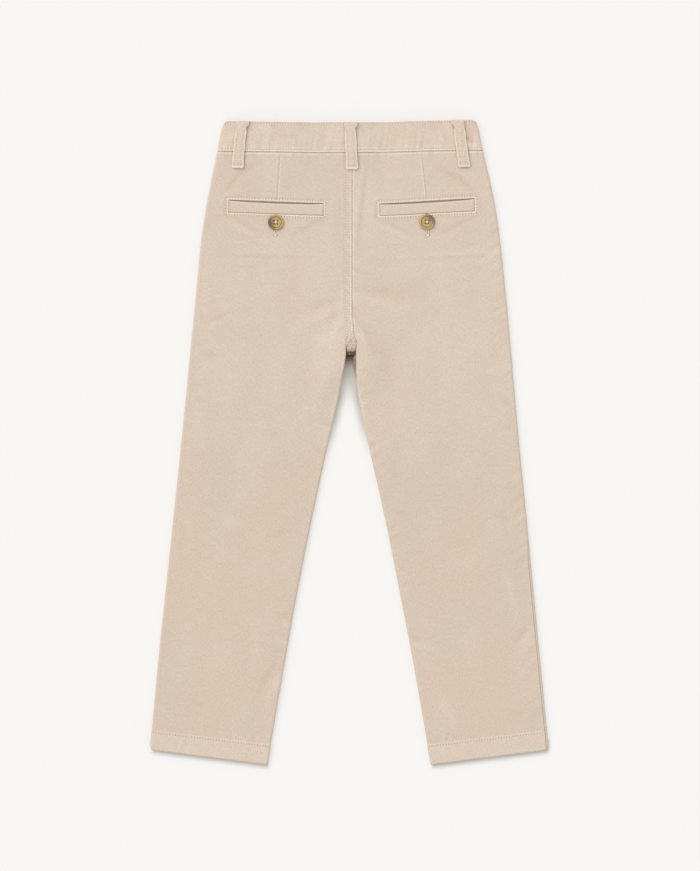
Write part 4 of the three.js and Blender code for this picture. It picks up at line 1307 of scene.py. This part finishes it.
# %% Rows of stitches
count = 0
for drop in (TOP_ROW, LOW_ROW):
    ends = [(float(band_edge(np.array(drop), side)), drop) for side in SIGN]
    count += sew("waistband_thread", on_band, line(*ends))
for side, sign in SIGN.items():
    a, d = FRAME_X - FRAME_CUT, FRAME_Y - FRAME_CUT
    box = [(-a, -FRAME_Y), (a, -FRAME_Y), (FRAME_X, -d), (FRAME_X, d), (a, FRAME_Y), (-a, FRAME_Y),
           (-FRAME_X, d), (-FRAME_X, -d), (-a, -FRAME_Y)]
    count += sew(f"pocket_thread_{side}", on_pocket(side), line(*box))
    hem = HEM_ROW + HEM_STITCH
    s = Section(side, np.array(hem), BACK_OPENS)
    ends = (hem, float(s.total) - 0.4), (hem, 0.5)
    count += sew(f"hem_thread_{side}", on_panel(side), line(*ends))
    count += sew(f"hem_thread_{side}", on_panel(side, FRONT_OPENS, front_relief),
                 line((hem, -0.8), (hem, 0.6 - float(s.total))))
print("stitches on the waistband, pockets and hems:", count)

# %% [markdown]
# The seat seam carries two rows, and so does each belt loop. On the front, which faces the floor,
# one row follows each pocket mouth and one curved row holds the fly.

# %% Rows on the seat seam, loops and front
def dropped_on(piece):
    """Places found by looking straight down at a finished piece from (x, drop)."""
    tree = BVHTree.FromPolygons([v.co for v in piece.data.vertices],
                                [p.vertices for p in piece.data.polygons])

    def place(path):
        flat = path.reshape(-1, 2)
        level = at(flat[:, 0], flat[:, 1], 50.0)
        hits = [tree.ray_cast((p * MM).tolist(), (0, 0, -1))[0] for p in level]
        points = np.array([p if hit is None else (hit.x * 1000, hit.y * 1000, hit.z * 1000)
                           for p, hit in zip(level, hits)]).reshape(*path.shape[:-1], 3)
        found = np.array([hit is not None for hit in hits]).reshape(path.shape[:-1])
        if not found.all():
            points[..., 2] = np.where(found, points[..., 2], points[..., 2][found].mean())
        return points, up_of(points)
    return place


drops = np.linspace(SEAT_FROM, SEAT_TO, 300)
half = FELL / 2 * mix(1, 1.16, ease((drops - 215) / 7))
for hand, off, dots in ((1, -2.4, 0.6), (-1, -0.1, 0.8)):
    row = np.stack([seam_x(drops) + hand * half + off, drops], -1)
    count += sew("seat_seam_thread", dropped_on(pieces["seat_seam_cloth"]), row, dots=dots)
for place, (top_x, low_x) in LOOPS.items():
    piece = pieces[f"belt_loop_back_{place}_cloth"]
    for off in (-LOOP_OFF, LOOP_OFF):
        ends = [(mix(top_x, low_x, drop / LOOP) + off, drop) for drop in (LOOP_FROM, LOOP_TO)]
        count += sew("belt_loop_thread", dropped_on(piece), line(*ends), pitch=2.7, radius=0.18,
                     arch=0.04, dots=0.75)
for side, sign in SIGN.items():
    front = on_panel(side, FRONT_OPENS, front_relief)
    rows = np.linspace(32, 138, 200)
    s = Section(side, rows, FRONT_OPENS)
    lengths = -length_from_edge(s, s.outer - mouth_x(rows) + 6)
    count += sew("mouth_thread", front, np.stack([rows, lengths], -1))
quarter = np.linspace(0, np.pi / 2, 80)
rows = np.concatenate([np.linspace(31, 96, 120), 96 + 26 * np.sin(quarter)])
from_centre = np.concatenate([np.full(120, 30.0), 30 * np.cos(quarter) + 0.5])
s = Section("left", rows, FRONT_OPENS)
count += sew("fly_thread", on_panel("left", FRONT_OPENS, front_relief),
             np.stack([rows, -s.length_at(from_centre)], -1))
print("stitches in all:", count)

# %% [markdown]
# Each pocket button goes through a buttonhole, a slit bound on both sides by close satin
# stitches. Only its lower end shows below the button, as a small pale ladder. The button is held
# by a cross of thread over its four holes.

# %% Buttonholes and button thread
def satin(side, x, top, low, width):
    """Close crosswise stitches on both sides of a slit, and a bar across its lower end."""
    t = np.linspace(-0.5, 0.5, 5)

    def add(middles, drops, width, arch, sink, radius):
        """Crosswise stitches of a width, round some middles at some drops."""
        s = Section(side, drops[:, None] + 0 * t, BACK_OPENS)
        spots, ups = on_panel(side)(np.stack([s.drop, s.length_at(middles + t * width)], -1))
        rise = (arch * np.cos(t * np.pi))[None, :, None] + sink
        add_tubes("buttonhole_thread", spots + ups * rise, ups, radius)

    for off in (-0.85, 0.85):
        add(x + off, np.arange(top, low - 0.8, 0.62), width, 0.3, 0.04, 0.26)
    add(x, low + np.array([-0.4, 0.1, 0.6]), 3.9, 0.34, 0.06, 0.28)


def button_cross(centre, up):
    """Strands from hole to hole along both sides of the square, drawn in to its middle, so that
    they look like a cross with the four holes round it."""
    t = np.linspace(-1, 1, 9)
    for turn in (0, 1):
        offs = np.array([-1.0, -0.5, 0.5, 1.0])[:, None]
        near = np.sign(offs) * 0.1 + offs * 0.12
        u = t * HOLE * 1.05 + 0 * offs
        v = mix(near, np.sign(offs) * HOLE * 0.97, np.abs(t) ** 2.4)
        z = 2.3 + 0.2 * turn - 1.6 * np.abs(t) ** 4 + 0 * u
        x, y = (u, v) if turn else (v, u)
        spots = np.stack([x, y, up * z], -1) + centre
        add_tubes("button_thread", spots, up * up_of(spots), 0.28, 1.2)


for side in SIGN:
    satin(side, POCKET_X[side] + 0.6, 96.5, 114.0, 1.75)
for node, centre in BUTTONS.items():
    button_cross(centre, -1.0 if node == "waist_button" else 1.0)

for group, parts in thread_parts.items():
    points, faces, shares = zip(*parts)
    first = np.cumsum([0] + [len(p) for p in points[:-1]])
    faces = np.concatenate([f + n for f, n in zip(faces, first)])
    mesh_piece(group, np.concatenate(points), faces, values={"dive": np.concatenate(shares)},
               slot="thread", sharp=None)

# %% [markdown]
# Materials are written as formulas. One small class wraps a socket of a material's nodes, so that
# sums and products of patterns read as they would on paper, and one method adds any other node.

# %% Shader formulas
def feed(node, inputs):
    """Link each of a node's sockets to a Value, or set it to a number or tuple."""
    for key, value in inputs.items():
        if isinstance(value, Value):
            node.id_data.links.new(value.socket, node.inputs[key])
        else:
            node.inputs[key].default_value = value


class Value:
    """A socket whose + - * / add Math nodes; node() adds any other node after it."""

    def __init__(self, socket):
        self.socket = socket

    def node(self, kind, settings, inputs, out=0):
        """A node of a kind: its settings first, then the values or links of its sockets."""
        new = self.socket.id_data.nodes.new(kind)
        for key, value in settings.items():
            setattr(new, key, value)
        feed(new, inputs)
        return Value(new.outputs[out])

    def math(self, operation, other=0.0, first=None):
        """A Math node of this and another value, or of another value and this."""
        a, b = (self, other) if first is None else (first, self)
        return self.node("ShaderNodeMath", {"operation": operation}, {0: a, 1: b})

    def __add__(self, other): return self.math("ADD", other)
    def __sub__(self, other): return self.math("SUBTRACT", other)
    def __mul__(self, other): return self.math("MULTIPLY", other)
    def __truediv__(self, other): return self.math("DIVIDE", other)
    def __radd__(self, other): return self.math("ADD", first=other)
    def __rsub__(self, other): return self.math("SUBTRACT", first=other)

    def smooth(self, low, high):
        """0 below low and 1 above high, with level ends."""
        return self.node("ShaderNodeMapRange", {"interpolation_type": "SMOOTHSTEP"},
                         {"Value": self, "From Min": low, "From Max": high})

    def noise(self, size, detail=2.0, rough=0.5):
        """Noise of 0 to 1 whose lumps are about a size in metres, read at this place."""
        return self.node("ShaderNodeTexNoise", {}, {
            "Vector": self, "Scale": 1 / size, "Detail": detail, "Roughness": rough})

    def stretched(self, y, turn=0.0):
        """This place with its y multiplied, and turned about z."""
        return self.node("ShaderNodeMapping", {}, {
            "Vector": self, "Scale": (1.0, y, 1.0), "Rotation": (0, 0, turn)})

    def part(self, axis):
        """One of this vector's X, Y and Z."""
        return self.node("ShaderNodeSeparateXYZ", {}, {"Vector": self}, out="XYZ".index(axis))

    def blend(self, a, b):
        """Colour a where this is 0 and b where it is 1."""
        a, b = (c if isinstance(c, Value) else (*c, 1) for c in (a, b))
        return self.node("ShaderNodeMix", {"data_type": "RGBA"}, {0: self, 6: a, 7: b}, out=2)

    def bump(self, distance):
        """The normal of a surface whose height is this times a distance in metres."""
        return self.node("ShaderNodeBump", {}, {"Height": self, "Distance": distance})

    def attribute(self, key):
        """The number that each point of the mesh carries under a name."""
        return self.node("ShaderNodeAttribute", {"attribute_name": key}, {}, out=2)


def linear(r, g, b):
    """A colour given as 0 to 255 on a screen, to the amounts of light a shader works with."""
    c = np.array([r, g, b]) / 255
    return tuple(float(v) for v in np.where(c <= 0.04045, c / 12.92, ((c + 0.055) / 1.055) ** 2.4))


def finish_named(name):
    """A new material; gives it, its Object coordinates and its shader."""
    material = bpy.data.materials.new(name)
    material.use_nodes = True
    shader = material.node_tree.nodes["Principled BSDF"]
    coords = material.node_tree.nodes.new("ShaderNodeTexCoord")
    return material, Value(coords.outputs["Object"]), shader


print("half of a screen's white is", round(linear(128, 128, 128)[0], 3), "of its light")

# %% [markdown]
# The cloth is garment-dyed cotton twill that has been washed soft: a fine diagonal rib, a grain
# of single yarns, slow patches where the dye took differently, and ridges that are painted a little
# paler than the valleys beside them, as painted highlight and shade with some wear. Every pattern
# has its real size, from half a millimetre to a hand's width.

# %% Twill
LIGHT, DEEP, GREY = (224, 206, 188), (216, 197, 178), (220, 205, 190)
ROUND, RIB = 6.2832, 0.00062  # a whole turn in radians, and the distance between two ribs in metres


def twill(name, tint):
    """The cloth, its three tones multiplied by a tint."""
    material, place, shader = finish_named(name)
    light, deep, grey = (tuple(c * tint for c in linear(*tone)) for tone in (LIGHT, DEEP, GREY))
    cut = place.node("ShaderNodeUVMap", {"uv_map": "cut"}, {})
    patches = place.stretched(0.55, 0.2).noise(0.062, 3.0, 0.55).smooth(0.3, 0.7)
    cool = place.stretched(0.6, -0.3).noise(0.11, 2.0).smooth(0.4, 0.72)
    small = place.noise(0.0085, 3.0, 0.6)
    grain = cut.stretched(0.45).noise(0.0011, 2.0, 0.6)
    colour = (patches * 0.25 + 0.15).blend(light, deep)
    colour = (cool * 0.3).blend(colour, grey)
    shade = 0.5 + (small - 0.5) * 0.1 + (grain - 0.5) * 0.6
    # proud carries painted highlight and shade from the relief and the tone, with some wear; row
    # and number place the needle holes
    painted_shading_and_wear, row, number = (place.attribute(key) for key in ("proud", "row", "number"))
    hole = (number * ROUND).math("COSINE").smooth(0.1, 0.8)
    # the painted light and wear join the shade, and along a row the cloth between the holes is
    # painted paler
    shade = shade + painted_shading_and_wear * 0.42 + row * (1 - hole) * 0.25
    # pale is the painted highlight's colour and dark the painted shade's
    dark, pale = linear(185, 163, 139), linear(240, 229, 214)
    colour = ((shade - 0.5) * 2.0).blend(colour, pale)
    colour = ((0.5 - shade) * 2.0).blend(colour, dark)
    # where the painted shade is deepest, in tucks and at the crotch knob's foot, the cloth turns a
    # deep brown
    colour = (shade * -1.6).blend(colour, linear(104, 84, 64))
    # painted shade in the needle holes: brown dots along each row of stitches
    colour = (row * hole * (0.45 + small * 0.5)).blend(colour, linear(163, 126, 92))
    slanted = (cut.part("X") * 0.82 + cut.part("Y") * 0.57) * (ROUND / RIB)
    ribs = (slanted + grain * 2.2).math("SINE") * 0.5 + 0.5
    height = ribs * 0.5 + grain * 0.5 + small * 0.9
    feed(shader, {
        "Base Color": colour, "Roughness": 0.86 + (grain - 0.5) * 0.12,
        "Specular IOR Level": 0.22, "Sheen Weight": 0.12, "Sheen Roughness": 0.6,
        "Normal": height.bump(0.00011)})
    return material


finishes = {"plain": twill("washed_twill", 0.93), "band": twill("washed_twill_band", 0.95),
            "loop": twill("washed_twill_loop", 0.97)}
print("cloth finishes:", list(finishes))

# %% [markdown]
# Horn is streaked: olive gold and brown run through each other in broad soft bands, so each
# button is darker at one side. It is polished, and the groove inside the rim is painted darker, as
# shade. The thread is cotton, a shade paler than the cloth, and painted dark where it dives into
# its needle hole, as the shade there.

# %% Horn and thread
def horn(name, centre, turn, shift):
    """Two tones divided along a soft uneven line through the button, turned for each one."""
    material, place, shader = finish_named(name)
    local = place.node("ShaderNodeMapping", {"vector_type": "POINT"}, {
        "Vector": place, "Location": tuple(float(-c) / 1000 for c in centre)})
    x, y = local.part("X") * 1000, local.part("Y") * 1000
    across = x * float(np.cos(turn)) + y * float(np.sin(turn))
    cloud = local.noise(0.006, 3.0, 0.6)
    streak = local.stretched(0.3, turn).noise(0.0022, 3.0, 0.65)
    side = (across / BUTTON_R + (cloud - 0.5) * 1.3 + shift).smooth(-0.45, 0.5)
    colour = side.blend(linear(104, 74, 46), linear(186, 154, 96))
    colour = ((streak - 0.5) * 1.6 + 0.1).smooth(0, 1).blend(colour, linear(212, 188, 136))
    radius = (x * x + y * y).math("SQRT")
    # painted shade in the groove inside the rim
    groove = (radius - 5.0).smooth(0, 0.35) * (1 - (radius - 5.6).smooth(0, 0.5))
    colour = (groove * 0.75).blend(colour, linear(84, 66, 44))
    feed(shader, {
        "Base Color": colour, "Roughness": 0.3 + streak * 0.16, "Specular IOR Level": 0.5,
        "Coat Weight": 0.3, "Coat Roughness": 0.2, "Normal": streak.bump(0.00003)})
    return material


def thread(name, colour, dark):
    """Cotton of a colour, darkened by a share where a stitch ends: painted shade in its needle
    hole.
    """
    material, place, shader = finish_named(name)
    twist = place.noise(0.0004, 2.0)
    clear = linear(*colour)
    tone = ((twist - 0.5) * 0.5 + 0.3).blend(clear, tuple(c * 0.86 for c in clear))
    # painted shade where a stitch dives into its needle hole
    dive = place.attribute("dive").smooth(0.45, 0.8) * dark
    feed(shader, {"Base Color": dive.blend(tone, linear(168, 134, 102)),
                  "Roughness": 0.7 + twist * 0.1, "Normal": twist.bump(0.00008)})
    return material


seam_thread = thread("cotton_thread", (243, 232, 216), 0.6)
white_thread = thread("pale_thread", (246, 240, 230), 0.8)
# each button's turn in radians, and how far its brown side is shifted
turns = {"pocket_button_left": (0.2, 0.45), "pocket_button_right": (3.9, 0.45),
         "waist_button": (1.2, 0.2)}
for node, centre in BUTTONS.items():
    finishes[node] = horn("horn_" + node, centre, *turns[node])

for name, piece in pieces.items():
    if name.endswith("_horn"):
        chosen = finishes[name[:-5]]
    elif "thread" in name:
        chosen = white_thread if name.startswith("button") else seam_thread
    elif name.startswith("belt_loop"):
        chosen = finishes["loop"]
    elif name.startswith("waistband"):
        chosen = finishes["band"]
    else:
        chosen = finishes["plain"]
    piece.data.materials.clear()
    piece.data.materials.append(chosen)
print("pieces with a finish:", len(pieces))

# %% [markdown]
# The trousers lie on a pale studio floor under a large soft light from the upper left, with a
# bright even surround, so that shadows are faint and wide. The floor glows a little, a painted
# light that makes its shadows fainter, and a shadow is painted on it between the legs and under the
# hems. The camera looks straight down.

# %% Floor, light and camera
def studio_floor():
    """A wide pale floor that glows a little, a painted light that fills its shadows. Under the
    crotch and along the hems a shadow is painted on it, in soft ramps of the distance down from the
    crotch, from the middle and from the hems' lower edge, in millimetres."""
    half, level = 3.0, -0.0002
    mesh = bpy.data.meshes.new("studio_floor")
    mesh.from_pydata([(-half, -half, level), (half, -half, level), (half, half, level),
                      (-half, half, level)], [], [(0, 1, 2, 3)])
    floor = bpy.data.objects.new("studio_floor", mesh)
    bpy.context.scene.collection.objects.link(floor)
    material, place, shader = finish_named("pale_floor")
    down = (float(Y0 - 231) / 1000 - place.part("Y")) * 1000.0
    beside = ((place.part("X") - float(X0 - 1.3) / 1000) * 1000.0).math("ABSOLUTE")
    between = 6 + down * 0.045 + down * down * 0.00125  # half the gap between the legs
    # painted shadow between the legs: darkest just below the crotch, fading downwards, and deeper
    # near the legs' inner edges
    shade = (1 - down.smooth(3.0, 17.0)) * 0.4 + (1 - down.smooth(2.0, 62.0)) * 0.6
    near = (1 - (between - beside).smooth(0.0, 10.0)) * (1 - down.smooth(60.0, 110.0)) * 0.35
    near = near * down.smooth(24.0, 50.0)
    shade = (shade + near).math("MINIMUM", 1.0) * down.smooth(-30.0, -20.0)
    shade = shade * (1 - (beside - between).smooth(4.0, 10.0))
    side = ((place.part("X") - float(X0) / 1000) * 1000.0).math("ABSOLUTE")
    edge = float(Y0 - SIDE) - (199.5 - side) * (HEM_SLANT / 117)  # the hem's place along y
    low = edge - place.part("Y") * 1000.0
    # painted shadow in a band along each hem's lower edge
    hem = (1 - (low + 1.0).smooth(0.0, 8.0)) * side.smooth(80.0, 84.0)
    hem = hem * (1 - side.smooth(196.0, 201.0))
    shade = shade.math("MAXIMUM", hem * low.smooth(-12.0, -8.0) * 0.45)
    # the floor goes from pale to dark brown where the shadow is painted; its emission, a painted
    # glow that fills the real shadows, fades out there
    white, dark = linear(186, 185, 183), linear(92, 71, 46)
    glow = shade.blend((1.0, 0.995, 0.98), (0.88, 0.8, 0.7))
    feed(shader, {
        "Base Color": (shade * 0.9).blend(white, dark), "Roughness": 0.95,
        "Specular IOR Level": 0.1, "Emission Strength": 0.412,
        "Emission Color": shade.blend(glow, (0.0, 0.0, 0.0))})
    mesh.materials.append(material)


studio_floor()
scene = bpy.context.scene
scene.view_settings.view_transform = "Standard"
world = bpy.data.worlds.new("studio")
scene.world = world
world.use_nodes = True
feed(world.node_tree.nodes["Background"], {"Color": (1.0, 0.997, 0.992, 1), "Strength": 0.74})

lamp = bpy.data.lights.new("soft_light", "SUN")
lamp.energy, lamp.angle = 1.35, np.radians(50)
lamp.color = (1.0, 0.995, 0.985)
soft = bpy.data.objects.new("soft_light", lamp)
soft.location = (-1.0, 1.1, 1.7)
soft.rotation_euler = soft.location.to_track_quat("Z", "Y").to_euler()
scene.collection.objects.link(soft)

# a point of the floor is a millimetre to each pixel of the picture's height; it is aimed at the
# middle of the trousers' length
PICTURE_HIGH, AIM_DROP = 871, 314.0
camera = bpy.data.cameras.new("camera")
camera.lens, camera.sensor_width = 100.0, 36.0
eye = bpy.data.objects.new("camera", camera)
height = PICTURE_HIGH * MM * camera.lens / camera.sensor_width
eye.location = (X0 * MM, (Y0 - AIM_DROP) * MM, height)
scene.collection.objects.link(eye)
scene.camera = eye
print("camera at", [round(v, 4) for v in eye.location])
